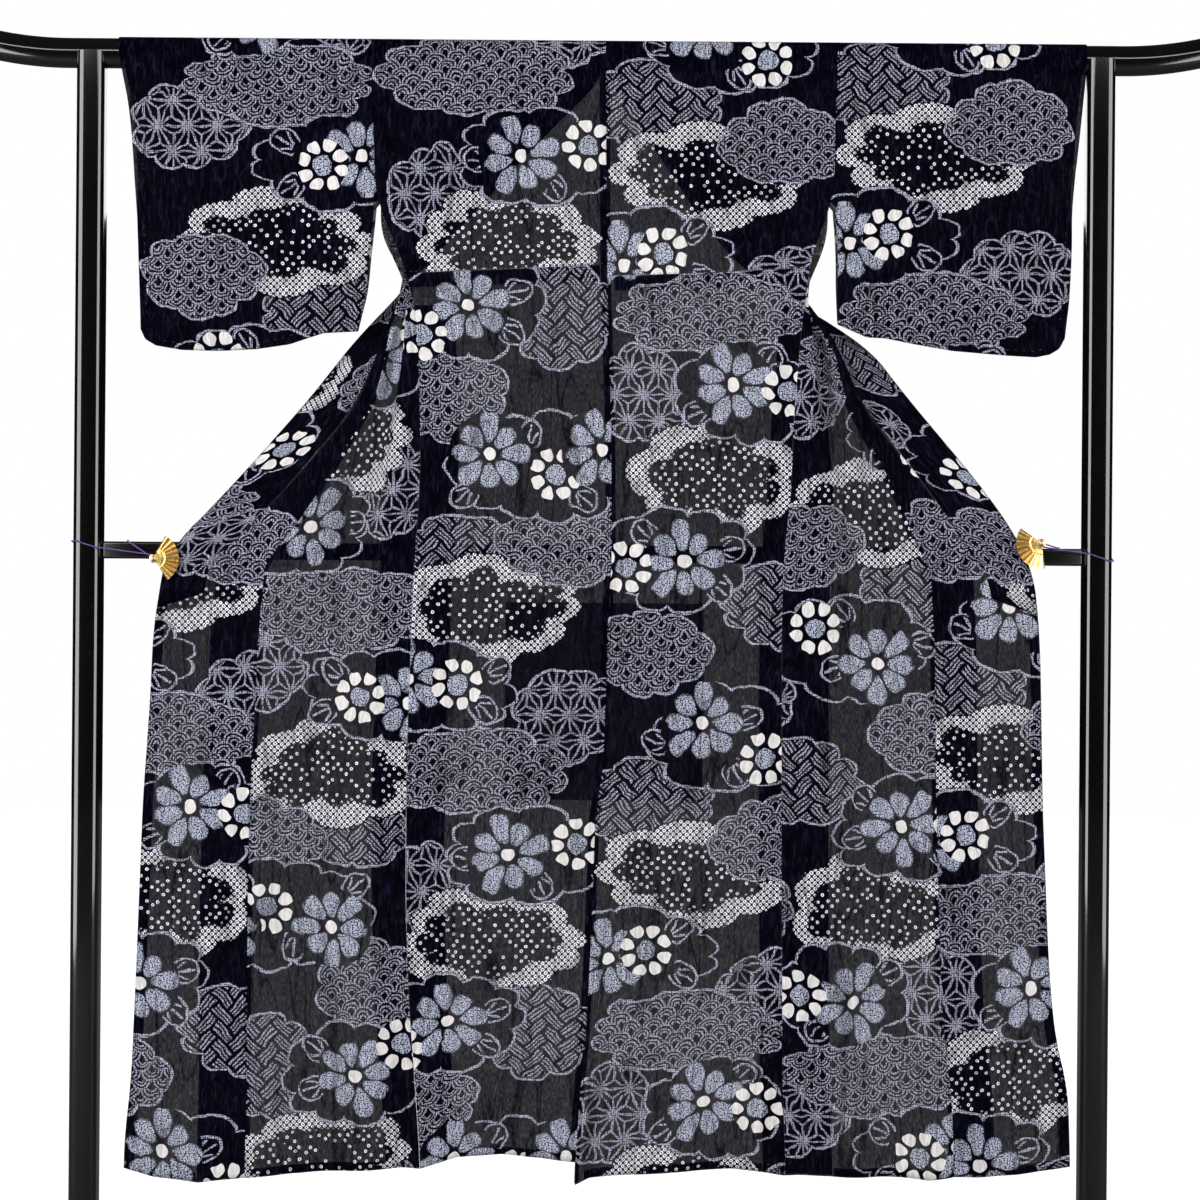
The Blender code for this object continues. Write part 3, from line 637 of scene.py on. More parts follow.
def cloth_band(name, chart, band):
    """The cloth's material for one stretch of the bolt, with the motifs that reach into it."""
    material, shader = new_material(name)
    attribute = material.node_tree.nodes.new("ShaderNodeAttribute")
    attribute.attribute_name = "bolt"
    bolt = Place(attribute.outputs["Vector"])
    centre = REPEAT * (band + 0.5) / BANDS
    reach = REPEAT / 2
    uneven = placed(wobble, Bolt=bolt)["Place"]
    place = (uneven - (0, centre, 0)).wrap((NO_WRAP, reach, NO_WRAP), (-NO_WRAP, -reach, -NO_WRAP))
    local = (0.0, 0.0, -1.0)
    kind = 0.0
    kinds = set()
    for number, (motif, across, along, half_x, half_y, lobes, turned) in enumerate(chart):
        away = (along - centre + reach) % REPEAT - reach
        if abs(away) > half_y * 1.12 + REPEAT / BANDS / 2 + 6:
            continue
        kinds.add(motif)
        spot = place - (across, away, 0)
        if motif in (BIG_KIND, SMALL_KIND, LEAF_KIND):
            spin = material.node_tree.nodes.new("ShaderNodeVectorRotate")
            spin.rotation_type = "Z_AXIS"
            dress(spin, Angle=turned, Vector=spot)
            spot = Place(spin.outputs[0])
            depth = half_x - (spot * (1, half_x / half_y, 0)).length()
        else:
            if turned < 0:
                spot = spot * (-1, -1, 1)
            depth = placed(cloud, Place=spot, Half=(half_x, half_y, 1.0), Lobes=float(lobes),
                           Start=number * 1.7 % 6.28)["Depth"]
        inside = depth > 0.0
        local = blend(inside, local, spot + joined(0.0, 0.0, depth), "VECTOR")
        kind = blend(inside, kind, float(motif))
    x, y, depth = split(local)
    flat = local * (1, 1, 0)

    def where(number):
        return kind.compare(float(number), 0.5)

    line = 0.0
    for number, group in ((WAVES_KIND, waves), (HEMP_KIND, hemp), (FENCE_KIND, fence)):
        if number in kinds:
            line = (where(number) * placed(group, Place=flat)["Line"]).maximum(line)
    outlined = (kind < LEAF_KIND - 0.5) - where(DOTS_KIND)
    edge = (depth < 4.6) * (depth > 0.7)
    line = (edge * outlined).maximum((depth > 6.0) * line * 0.78)
    if LEAF_KIND in kinds:
        line = line.maximum(where(LEAF_KIND) * placed(leaf, Place=flat, Depth=depth)["Line"])
    texture = placed(weave, Bolt=bolt)
    crinkle, crease = texture["Crinkle"], texture["Crease"]
    # Painted sheen: the ground is lightened in streaks along the crinkle's ridges.
    sheen_streak = (crinkle * 4.0 - 2.0).maximum(0.0).minimum(1.0)
    colour = blend(sheen_streak, GROUND, GROUND_SHEEN, "RGBA")
    colour = blend(line * texture["Grain"] ** 1.3, colour, LINE_DYE, "RGBA")
    # Painted shade and light: the colour is darkened in the crinkle's hollows and along the long creases,
    # and lifted a little on the crinkle's crests; the white petals take less of it.
    painted_crinkle_shade = (crinkle * 1.6 + 0.15).smooth_min(1.15, 0.2) * crease
    if BIG_KIND in kinds or SMALL_KIND in kinds:
        bloom = placed(flower, Place=flat, Small=where(SMALL_KIND))
        shown = kind > LEAF_KIND + 0.5
        white = bloom["White"] * shown
        colour = blend(bloom["Grey"] * shown * texture["Stipple"], colour, PETAL_DYE, "RGBA")
        colour = blend(white, colour, WHITE_DYE, "RGBA")
        painted_crinkle_shade = blend(white * 0.6, painted_crinkle_shade, 1.0)
    if DOTS_KIND in kinds:
        even = blend(0.4, bolt, uneven, "VECTOR")
        tied = where(DOTS_KIND) * placed(dots, Place=even, Depth=depth)["Ring"]
        colour = blend(tied, colour, DOT_DYE, "RGBA")
    dress(shader, Base_Color=colour * joined(painted_crinkle_shade, painted_crinkle_shade, painted_crinkle_shade),
          Alpha=texture["Thread"] * 0.24 + crinkle * 0.20 - crease * 0.14 + 0.768,
          Normal=bumped(crease * 0.8 + crinkle, 0.55, 0.0016), Roughness=0.82, Specular_IOR_Level=0.005)
    material.surface_render_method = "DITHERED"
    return material


BOLTS = {side: [cloth_band("yukata cloth %s %d" % (side, band + 1), chart, band) for band in range(BANDS)]
         for side, chart in (("right", CHART_RIGHT), ("left", CHART_LEFT))}

# The body panels: each half is one bolt width from the back hem over the shoulder to the front hem.
# The two are sewn together down the centre back, and each is sewn to itself down the side below the
# arm. The tables are the CAD model's: (height, place across) and so on, in millimetres.

WALL = 0.5  # thickness of the cloth as it is shown
WRAP_Y, WRAP_Z, BAR = 16.6, 22.6, 1679.0  # how the cloth rounds the bar, and the bar's height
# The heights of the hem, the side seam's top, the arm opening's end and the neck.
HEM, SEAM_TOP, ARM_END, NECK_SEAM, NECK_EDGE = 115.0, 1335.0, 1474.0, 1690.0, 1655.0
KENSAKI, COLLAR_LOW, COLLAR_END = 1344.0, 905.0, 925.0  # the overlap panel's point, the collar's end
TUCK = 1376.0
OVERLAP_SEAM = 0.595  # share of a front's width from its side edge to the overlap panel
SIDE = {
    "left": ((1698, -316), (1474, -307), (1400, -272), (1364, -256), (1308, -248), (1245, -243),
             (1140, -240), (1082, -240), (928, -249), (676, -256), (494, -256), (354, -251),
             (250, -243), (130, -234)),
    "right": ((1700, 338), (1479, 333), (1408, 306), (1338, 292), (1184, 279), (1058, 275),
              (995, 267), (918, 264), (568, 266), (243, 270), (141, 275)),
}
FREE_EDGE = {
    "left": ((1655, 14), (1580, -64), (1490, -149), (1291, -335), (1193, -403), (1085, -493),
             (995, -575), (985, -592), (936, -602), (869, -612), (785, -615), (631, -625),
             (452, -631), (245, -639), (156, -648), (117, -649)),
    "right": ((1655, 14), (1441, 162), (1369, 236), (1286, 385), (1199, 446), (1083, 540),
              (1012, 590), (961, 614), (915, 621), (844, 626), (641, 631), (427, 641),
              (355, 647), (302, 653), (231, 670), (129, 674)),
}
CENTRE = ((1697, 13), (1378, 17), (1154, 25), (972, 27), (888, 22), (776, 20), (664, 17),
          (636, 8), (412, 1), (286, -5), (202, -13), (108, -18))
HEM_LINE = {
    "left": ((-649, 117), (-608, 105), (-544, 97), (-484, 106), (-401, 109), (-341, 117),
             (-263, 120), (-235, 117), (-184, 136), (-120, 141), (-63, 137), (-18, 130)),
    "right": ((-18, 98), (2, 107), (76, 113), (202, 124), (244, 120), (274, 114), (336, 117),
              (387, 113), (476, 109), (512, 116), (547, 114), (601, 117), (674, 129)),
}
BACK_HANG = ((1679, -16.6), (1474, -16.6), (1365, -19), (1200, -22), (981, -25), (600, -22), (110, -18))
BACK_SWELL = ((1470, 0), (1300, 2), (981, 3), (600, 5), (110, 9))
EDGE_DEPTH = ((1640, 16.6), (1580, 18), (1490, 30), (1420, 50), (1365, 62), (1310, 54), (1240, 28),
              (1193, 8), (1085, -14), (995, -24), (900, -25), (600, -22), (110, -18))
FOLD_TURN = ((1650, 0), (1600, 0.45), (1550, 0.9), (1490, 1.2), (1420, 1.35), (1365, 1.32),
             (1310, 1.3), (1240, 1.25), (1193, 1.15), (1085, 0.85), (995, 0.42), (900, 0.36),
             (600, 0.35), (110, 0.4))
COLLAR_SPAN = ((1690, 0), (1679, 11), (1655, 36), (1600, 68), (1560, 76), (1480, 72), (1400, 52),
               (1365, 44), (1310, 52), (1240, 66), (1193, 74), (1000, 78), (960, 64), (925, 62))


def curve(table, at):
    """The table's value at a height, eased over the 60 mm round it."""
    places, values = np.array(sorted(table), float).T
    return float(np.mean(np.interp(at + np.linspace(-30, 30, 5), places, values)))


def straight(table, at):
    """The table's value at a height."""
    places, values = np.array(sorted(table), float).T
    return float(np.interp(at, places, values))


def smooth(low, high, at):
    """A share that eases from 0 at one end to 1 at the other."""
    share = np.clip((at - low) / (high - low), 0, 1)
    return share * share * (3 - 2 * share)


def outward(side):
    """The way along X from the middle to a side."""
    return -1.0 if side == "left" else 1.0


def wrap_depth(z):
    """How far behind the bar's middle the cloth lies as it rounds the bar."""
    share = min(max((z - BAR) / WRAP_Z, 0), 1)
    return WRAP_Y * math.sqrt(1 - share * share)


def hem_shift(side, x, z):
    """A height, moved near the hem to follow the hem's uneven line."""
    fade = max(0.0, 1 - (z - HEM) / 250)
    return z + (straight(HEM_LINE[side], x) - HEM) * fade


def back_depth(x, z):
    """How the back hangs: nearly flat, with soft waves that grow downwards."""
    if z > BAR:
        return -wrap_depth(z)
    swell = straight(BACK_SWELL, z)
    wave = 0.6 * math.sin(x / 47 + z / 310) + 0.4 * math.sin(x / 23 - z / 190 + 1)
    return straight(BACK_HANG, z) + swell * wave


def side_edge(side, z):
    """Where a front starts: at the side seam, or free beside the arm opening."""
    out = outward(side)
    seam = curve(SIDE[side], z)
    free = float(smooth(SEAM_TOP, ARM_END, z))
    arm = curve(SIDE[side], max(z, ARM_END))
    low = np.array([seam + out * 1.3, back_depth(seam, z)])
    high = np.array([arm, wrap_depth(z)])
    return low + (high - low) * free


def front_edge(side, z):
    """Where a front ends: at its free edge, or at the neck."""
    if z < NECK_EDGE:
        return np.array([curve(FREE_EDGE[side], z), curve(EDGE_DEPTH, z)])
    edge, centre = curve(FREE_EDGE[side], NECK_EDGE), curve(CENTRE, z)
    return np.array([edge + (centre - edge) * smooth(NECK_EDGE, NECK_SEAM, z), wrap_depth(z)])


def along(points):
    """The distance along a line of points to each of them."""
    return np.concatenate([[0], np.cumsum(np.linalg.norm(np.diff(points, axis=0), axis=1))])


PATHS = {}


def front_path(side, z):
    """One level cut through a front, with its surplus width in rounded folds."""
    if (side, z) not in PATHS:
        out = outward(side)
        start, end = side_edge(side, z), front_edge(side, z)
        share = np.linspace(0, 1, 241)
        ease = smooth(0, 0.08, share) * (1 - 0.85 * smooth(0.55, 0.75, share))
        turn = -curve(FOLD_TURN, z) * ease * np.sin(2 * math.pi * 2.5 * share + z / 900)
        steps = np.stack([np.cos(turn), np.sin(turn)], 1)
        run = np.vstack([[0, 0], np.cumsum((steps[1:] + steps[:-1]) / 2, 0)])
        held = complex(*((end - start) * (out, 1))) / complex(*run[-1])
        points = np.array([complex(*p) * held for p in run])
        points = np.stack([points.real * out, points.imag], 1) + start
        PATHS[side, z] = along(points), points
    return PATHS[side, z]


def front_points(side, z, arcs):
    """Points of a front at one height, at distances of cloth from its side edge."""
    known, points = front_path(side, z)
    xs = np.interp(arcs, known, points[:, 0])
    ys = np.interp(arcs, known, points[:, 1])
    return [(x, y, hem_shift(side, x, z)) for x, y in zip(xs, ys)]


def seams(side, z):
    """Distances of cloth from the side edge to the overlap seam and the collar seam."""
    whole = front_path(side, z)[0][-1]
    if z <= COLLAR_LOW:
        return whole * OVERLAP_SEAM, whole
    collar = whole - straight(COLLAR_SPAN, z) * min((z - COLLAR_LOW) / (COLLAR_END - COLLAR_LOW), 1.0)
    overlap = 84 * (1372 - z) / 447 if z <= KENSAKI else 0
    inner = whole - straight(COLLAR_SPAN, z) - overlap
    if z < COLLAR_END:
        inner += (whole * OVERLAP_SEAM - inner) * (COLLAR_END - z) / (COLLAR_END - COLLAR_LOW)
    return inner, collar


def steps_between(high, low, step, extra=()):
    """Heights from high to low, evenly apart, with some heights added."""
    count = max(2, round((high - low) / step) + 1)
    levels = set(np.linspace(high, low, count).round(3)) | {z for z in extra if low < z < high}
    return sorted(levels, reverse=True)


FRONT_LEVELS = steps_between(1668.0, HEM, 8.0, (KENSAKI, COLLAR_LOW, COLLAR_END))
BACK_LEVELS = steps_between(BAR - 6, HEM, 8.0, (TUCK + 0.3, TUCK - 0.3))[::-1]
BODY_SHARES = np.concatenate([[0, 0.005, 0.014], np.linspace(0.03, 0.97, 58), [0.986, 0.995, 1]])


def tuck_line(side, x):
    """How far the waist tuck lies above its nominal height."""
    return (9.0 if side == "left" else -8.0) + (x - 17) * 0.05


def crinkle_depth(x, z):
    """The soft uneven puckers that run down the cloth."""
    broad = math.sin(x / 9.3 + 2.1 * math.sin(z / 118) + math.sin(x / 71))
    fine = math.sin(x / 5.1 - 1.6 * math.sin(z / 77 + x / 40) + 2)
    long_fold = math.sin(x / 33 + 0.8 * math.sin(z / 260) + 1.3)
    return 0.30 * broad + 0.16 * fine + 0.65 * long_fold


def wall_skins(grid, normal, wall, ring=False):
    """Points and faces of a closed wall of even thickness round a grid of points."""
    rows, cols = grid.shape[:2]
    offset = normal * wall / 2
    skins = np.concatenate([(grid - offset).reshape(-1, 3), (grid + offset).reshape(-1, 3)])
    half = rows * cols
    span = np.arange(cols if ring else cols - 1)
    r, c = np.meshgrid(np.arange(rows - 1), span, indexing="ij")
    a, b = r * cols + c, r * cols + (c + 1) % cols
    quads = np.stack([a, b, b + cols, a + cols], -1).reshape(-1, 4)
    faces = [quads[:, ::-1], quads + half]
    for row in (0, rows - 1):
        low, high = row * cols + span, row * cols + (span + 1) % cols
        rim = np.stack([low, high, half + high, half + low], -1)
        faces.append(rim[:, ::-1] if row else rim)
    if not ring:
        down = np.arange(rows - 1) * cols
        for col in (0, cols - 1):
            rim = np.stack([down + col, down + cols + col, half + down + cols + col, half + down + col], -1)
            faces.append(rim if col else rim[:, ::-1])
    return skins, np.concatenate(faces)


def cloth_wall(name, grid, bolt, side, ring=False, lift=0.0, puckers=1.0):
    """A thin closed wall along a grid of points, with each point's place on the bolt.

    A lift stands it off towards the far side, as a folded-in edge lies behind its panel."""
    grid = np.array(grid, float)
    across = (np.roll(grid, -1, 1) - np.roll(grid, 1, 1)) if ring else np.gradient(grid, axis=1)
    normal = np.cross(np.gradient(grid, axis=0), across)
    normal /= np.linalg.norm(normal, axis=2, keepdims=True)
    depth = np.array([[crinkle_depth(p[0], p[2]) for p in row] for row in grid])
    depth = lift + depth * smooth(BAR + 30, BAR - 90, grid[:, :, 2]) * puckers
    grid = grid + normal * np.sign(normal[:, :, 1:2]) * depth[:, :, None]
    skins, faces = wall_skins(grid, normal, WALL, ring)
    mesh = bpy.data.meshes.new(name)
    mesh.from_pydata((skins * 0.001).tolist(), [], faces.tolist())
    places = mesh.attributes.new("bolt", "FLOAT_VECTOR", "POINT")
    flat = np.zeros((len(skins), 3))
    flat[:, :2] = np.concatenate([np.array(bolt, float).reshape(-1, 2)] * 2)
    places.data.foreach_set("vector", flat.ravel())
    for material in BOLTS[side]:
        mesh.materials.append(material)
    middle = flat[faces, 1].mean(axis=1)
    bands = np.floor((middle % REPEAT) / (REPEAT / BANDS)).astype(int).clip(0, BANDS - 1)
    mesh.polygons.foreach_set("material_index", bands)
    faces_out(mesh)
    mesh.shade_smooth()
    piece = add_object(name, mesh)
    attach(piece, "root")
    return piece


def cloth_rows(name, levels, row, side, lift=0.0):
    """A cloth wall from a function that gives the points and bolt places of one height."""
    grid, bolt = zip(*(row(z) for z in levels))
    return cloth_wall(name, grid, bolt, side, lift=lift)


def front_bolt(side, z, arcs):
    """Places on the bolt for a front, which runs the other way up from the back."""
    v = 15 - (BAR - z) - 135 * float(smooth(1690, 1250, z))
    under = 52 * float(smooth(ARM_END, SEAM_TOP, z))
    if side == "left":
        return [(31 + under + arc, v) for arc in arcs]
    return [(335 - under - arc, v) for arc in arcs]


def back_bolt(side, x, z):
    """The place on the bolt for a place on the back."""
    across = x - curve(CENTRE, z)
    v = 1756 - z + (28 if z < TUCK else 0)
    return (360 + across if side == "left" else 10 + across), v


def seam_dip(distance):
    """How far a panel's edge turns in towards its seam."""
    return 0.9 * math.exp(-abs(distance) / 2.2)


def wrap_bolt(degrees):
    """The distance along the bolt where the cloth rounds the bar, from 180 degrees at the back to 0."""
    return 77 - 62 * (180 - degrees) / 180


def back_outer(side, z):
    """Where the back ends at its side."""
    return float(side_edge(side, z)[0]) if z < SEAM_TOP else (
        curve(SIDE[side], z) + outward(side) * 1.3 * (1 - float(smooth(SEAM_TOP, ARM_END, z))))


def back_points(side, z, xs):
    """Points of the back at one height, hung from the tuck and turned in at both seams."""
    pull = math.exp(-((z - TUCK) / 45) ** 2)
    ledge = 1.5 * math.exp(-(z - TUCK) / 14) if z > TUCK else 0.0
    points = []
    for x in xs:
        dip = seam_dip(x - curve(CENTRE, z))
        if z < SEAM_TOP:
            dip += seam_dip(x - back_outer(side, z))
        height = hem_shift(side, x, z) + tuck_line(side, x) * pull
        points.append((x, back_depth(x, z) - ledge + dip, height))
    return points


def dipped_points(side, z, arcs, *sewn_at):
    """Points of a front at one height, turned in at some seams."""
    return [(x, y + sum(seam_dip(arc - seam) for seam in sewn_at), height)
            for (x, y, height), arc in zip(front_points(side, z, arcs), arcs)]


body_panels = {}
for side in ("left", "right"):
    out = outward(side)
    grid, bolt = [], []
    for z in BACK_LEVELS:
        middle = curve(CENTRE, hem_shift(side, -18, z))
        xs = back_outer(side, z) + (middle - back_outer(side, z)) * BODY_SHARES
        grid.append(back_points(side, z, xs))
        bolt.append([back_bolt(side, x, z) for x in xs])
    for degrees in range(180, -1, -10):
        turn = math.radians(degrees)
        z = BAR + WRAP_Z * math.sin(turn)
        inner = curve(CENTRE, z)
        if degrees < 29:
            inner = front_edge(side, z)[0] + out * straight(COLLAR_SPAN, z)
        xs = curve(SIDE[side], z) + (inner - curve(SIDE[side], z)) * BODY_SHARES
        grid.append([(x, WRAP_Y * math.cos(turn), z) for x in xs])
        bolt.append([(back_bolt(side, x, z)[0], wrap_bolt(degrees)) for x in xs])
    for z in FRONT_LEVELS:
        arcs = BODY_SHARES * seams(side, z)[0]
        grid.append(dipped_points(side, z, arcs, *((0.0, arcs[-1]) if z < SEAM_TOP else ())))
        bolt.append(front_bolt(side, z, arcs))
    panel = cloth_wall("yukata_body_" + side, grid, bolt, side)
    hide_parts("body_" + side)
    body_panels[side] = panel

# The folded-in edges of the body: the bolt isn't cut narrower, so each seam keeps its surplus inside.
# They show through the sheer cloth as dark bands, as do the waist tuck and the turned-up hem.

BACK_EDGE = {"left": 53.0, "right": 31.0}
FRONT_EDGE = {"left": 48.0, "right": 66.0}
OVERLAP_EDGE = {"left": 69.0, "right": 60.0}
CENTRE_EDGE = {"left": 9.0, "right": 5.4}
TUCK_DEEP = 21.0
HEM_DEEP = 12.0
EDGE_LIFT = 1.2  # how far behind the panel a folded-in layer lies
SIDE_LEVELS = steps_between(SEAM_TOP - 8, HEM + 2, 8.0)
HEM_LEVELS = np.linspace(HEM + 1, HEM + HEM_DEEP, 3)


def body_edges(side):
    """The layers folded in behind one body panel."""
    out = outward(side)

    def back_edge(z):
        start = back_outer(side, z) - out * 0.6
        xs = start - out * np.linspace(0, BACK_EDGE[side], 7)
        return back_points(side, z, xs), [back_bolt(side, 2 * start - x, z) for x in xs]

    def front_side_edge(z):
        arcs = np.linspace(0.6, FRONT_EDGE[side], 9)
        return dipped_points(side, z, arcs, 0.0), front_bolt(side, z, -arcs)

    def centre_edge(z):
        middle = curve(CENTRE, hem_shift(side, -18, z))
        xs = middle + out * np.linspace(-0.6, CENTRE_EDGE[side], 4)
        return back_points(side, z, xs), [back_bolt(side, 2 * middle - x, z) for x in xs]

    def waist_tuck(z):
        xs = np.linspace(back_outer(side, z) - out * 2, curve(CENTRE, z) + out * 10, 40)
        return back_points(side, z, xs), [back_bolt(side, x, 2 * TUCK - z) for x in xs]

    def back_hem(z):
        start = back_outer(side, z) - out * (BACK_EDGE[side] + 2)
        xs = np.linspace(start, curve(CENTRE, z) + out * 12, 30)
        return back_points(side, z, xs), [back_bolt(side, x, 2 * HEM - z) for x in xs]

    def front_hem(z):
        arcs = np.linspace(FRONT_EDGE[side] + 2, seams(side, z)[0] - 1, 30)
        return front_points(side, z, arcs), front_bolt(side, 2 * HEM - z, arcs)

    return [cloth_rows("yukata_%s_%s" % (part, side), levels, row, side, EDGE_LIFT + lift)
            for part, levels, row, lift in (
                ("back_edge", SIDE_LEVELS, back_edge, 0.0),
                ("front_edge", SIDE_LEVELS, front_side_edge, 0.0),
                ("centre_edge", steps_between(BAR - 6, HEM + 2, 8.0), centre_edge, 0.1),
                ("waist_tuck", np.linspace(TUCK - 1, TUCK - TUCK_DEEP, 4), waist_tuck, 1.1),
                ("back_hem", HEM_LEVELS, back_hem, 0.0),
                ("front_hem", HEM_LEVELS, front_hem, 0.0))]


for side in ("left", "right"):
    body_edges(side)


# The overlap panels: half widths sewn along the lower front edges, running to a point at the top.
# Each has its own surplus folded in at the seam, a turned-up hem and a narrow facing down its edge.

def overlap_bolt(side, points, z):
    """Places on the bolt for an overlap panel."""
    start, offset = (-741, 567) if side == "left" else (435, 812)
    return [(x - start, 1756 - z - offset) for x, _, _ in points]


def overlap_layer(part, side, levels, count, ends, sewn=False, lift=0.0):
    """A layer of an overlap panel between two distances of cloth, which ends gives from its seams."""
    def row(z):
        inner, outer = seams(side, z)
        points = dipped_points(side, z, np.linspace(*ends(inner, outer), count), *([inner] if sewn else []))
        return points, overlap_bolt(side, points, z)

    return cloth_rows("yukata_%s_%s" % (part, side), levels, row, "right", lift)


for side in ("left", "right"):
    folded_in = OVERLAP_EDGE[side]
    panel = overlap_layer("overlap", side, [z for z in FRONT_LEVELS if z <= KENSAKI], 36,
                          lambda inner, outer: (inner, outer), sewn=True)
    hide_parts("okumi_" + side)
    folded = [
        overlap_layer("overlap_edge", side, steps_between(KENSAKI - 60, HEM + 2, 8.0), 9,
                      lambda inner, outer: (inner - 6, min(inner + folded_in, outer - 2)), True, EDGE_LIFT),
        overlap_layer("overlap_hem", side, HEM_LEVELS, 16,
                      lambda inner, outer: (inner + folded_in + 2, outer - 1), False, EDGE_LIFT),
        overlap_layer("overlap_facing", side, steps_between(COLLAR_LOW - 2, HEM + 2, 8.0), 4,
                      lambda inner, outer: (outer - 14, outer - 0.5), False, EDGE_LIFT)]


# The sleeves: one bolt width each, folded over the bar and sewn along the bottom and up the cuff to
# the wrist opening. The inner edge is sewn to the body for 225 mm below the shoulder.

CUFF = {
    "left": ((1702, -671), (1664, -667), (1639, -660), (1597, -652), (1513, -646), (1387, -641),
             (1286, -637)),
    "right": ((1701, 688), (1664, 686), (1614, 681), (1533, 674), (1490, 669), (1418, 671),
              (1315, 666), (1287, 659)),
}
SLEEVE_INNER = {
    "left": ((1474, -307.5), (1429, -312), (1395, -316), (1335, -320), (1291, -335)),
    "right": ((1479, 333.5), (1416, 340), (1347, 340), (1300, 342)),
}
SLEEVE_LOW = {
    "left": ((0.0, 1291), (0.16, 1288), (0.31, 1272), (0.46, 1265), (0.63, 1262), (0.81, 1263),
             (0.93, 1269), (0.98, 1278), (1.0, 1292)),
    "right": ((0.0, 1306), (0.13, 1288), (0.21, 1287), (0.34, 1279), (0.51, 1270), (0.75, 1264),
              (0.88, 1262), (0.94, 1266), (0.98, 1274), (1.0, 1289)),
}


def sleeve_depth(share, z, above):
    """Half the distance between the sleeve's two layers."""
    inside = straight(((1474, WRAP_Y), (1400, 15), (1300, 11)), z)
    edge = straight(((1600, WRAP_Y), (1500, 11), (1450, 1.1)), z)
    shut = float(smooth(0.7, 1, share))
    room = min(1.0, max(above, 0) / 50) ** 0.6
    return max((inside * (1 - shut) + edge * shut) * room, min(1.1, max(above, 0)))


for side in ("left", "right"):
    out = outward(side)
    hang = np.concatenate([[0, 0.004, 0.012, 0.028], np.linspace(0.05, 0.99, 50)])
    places = [("hang", -1, share) for share in hang] + [("wrap", turn, 0) for turn in range(180, -1, -10)]
    places += [("hang", 1, share) for share in hang[:0:-1]]
    grid, bolt = [], []
    for share in np.concatenate([np.linspace(0, 0.9, 52), np.linspace(0.912, 1, 12)]):
        low = straight(SLEEVE_LOW[side], share)
        row, marks = [], []
        for kind, value, height in places:
            if kind == "wrap":
                turn = math.radians(value)
                z = BAR + WRAP_Z * math.sin(turn)
                y = WRAP_Y * math.cos(turn)
                down = wrap_bolt(value)
            else:
                z = low + (BAR - low) * height
                y = sleeve_depth(share, z, z - low) * value
                down = 1756 - z if value < 0 else 15 - (BAR - z)
            inner = curve(SIDE[side], z) if z >= ARM_END else curve(SLEEVE_INNER[side], z)
            inner = out * max(abs(inner), abs(curve(SIDE[side], max(z, ARM_END))))
            x = inner + (curve(CUFF[side], z) - inner) * share
            row.append((x, y, z))
            if side == "right":
                marks.append((11 + x - 333.5, down + 28))
            else:
                marks.append((-293 - x, 588 - down))
        grid.append(row)
        bolt.append(marks)
    panel = cloth_wall("yukata_sleeve_" + side, grid, bolt, "right", ring=True)
    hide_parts("sleeve_" + side)


# The collar: one long strip folded in half along its length, sewn round the neck and down both
# fronts. Each row runs from the seam to the folded edge and back on the other side.

def collar_level(z):
    """The height of the collar's folded edge where its seam is at a height."""
    low = z if z <= 1560 else NECK_EDGE - (NECK_SEAM - z) * (NECK_EDGE - 1560) / (NECK_SEAM - 1560)
    return COLLAR_LOW - 3 if z == COLLAR_END else low


COLLAR_ROUND = np.concatenate([np.linspace(0, 1, 15), np.linspace(1, 0, 15)[1:]])
COLLAR_LEVELS = steps_between(NECK_SEAM - 4, COLLAR_END, 7.0)[::-1]


def collar_rows(side):
    """The rows of points of one leg of the collar, from its lower end up to the neck."""
    rows = []
    for z in COLLAR_LEVELS:
        row = []
        for share in COLLAR_ROUND:
            level = z + (collar_level(z) - z) * share
            whole = front_path(side, level)[0][-1]
            seam = whole - straight(COLLAR_SPAN, z)
            row += front_points(side, level, [seam + (whole - seam) * share])
        if z == COLLAR_END:
            row = [(x, y, height - 3) for x, y, height in row]
        rows.append(row)
    return rows


neck_row = []
for share in COLLAR_ROUND:
    z = NECK_SEAM + (NECK_EDGE - NECK_SEAM) * share
    neck_row.append((curve(CENTRE, NECK_SEAM), wrap_depth(z), z))
grid = np.array(collar_rows("left") + [neck_row] + collar_rows("right")[::-1])
level_way = np.gradient(grid[:, :15], axis=0)
cross_way = np.gradient(grid[:, :15], axis=1)
face = np.cross(level_way, cross_way)
face /= np.linalg.norm(face, axis=2, keepdims=True)
# How far each layer lies to its side of the middle, less towards the fold.
lift = np.concatenate([-0.7 * np.ones(14), [0.15], 1.0 * np.ones(14)])
lift[[12, 13, 15, 16]] = (-0.62, -0.4, 0.7, 0.92)
both = np.concatenate([face, face[:, -2::-1]], axis=1)
grid = grid + both * lift[None, :, None]
run = along(grid[:, 14])
across = [150 + 78 * share if i < 15 else 306 - 78 * share for i, share in enumerate(COLLAR_ROUND)]
bolt = [[(place, 300 + down) for place in across] for down in run]
panel = cloth_wall("yukata_collar", grid, bolt, "right", puckers=0.0)
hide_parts("collar")


# The seat lining: a plain thin square felled behind the back at hip height, where the wearer's
# weight would pull the centre seam apart.

lining_cloth, thin = new_material("plain seat lining", Roughness=0.85, Specular_IOR_Level=0.2)
fine = noise(object_place(lining_cloth), 900, dimensions="3D")
dress(thin, Base_Color=blend(fine, (0.008, 0.008, 0.011, 1), (0.02, 0.02, 0.026, 1), "RGBA"),
      Alpha=fine * 0.1 + 0.62)

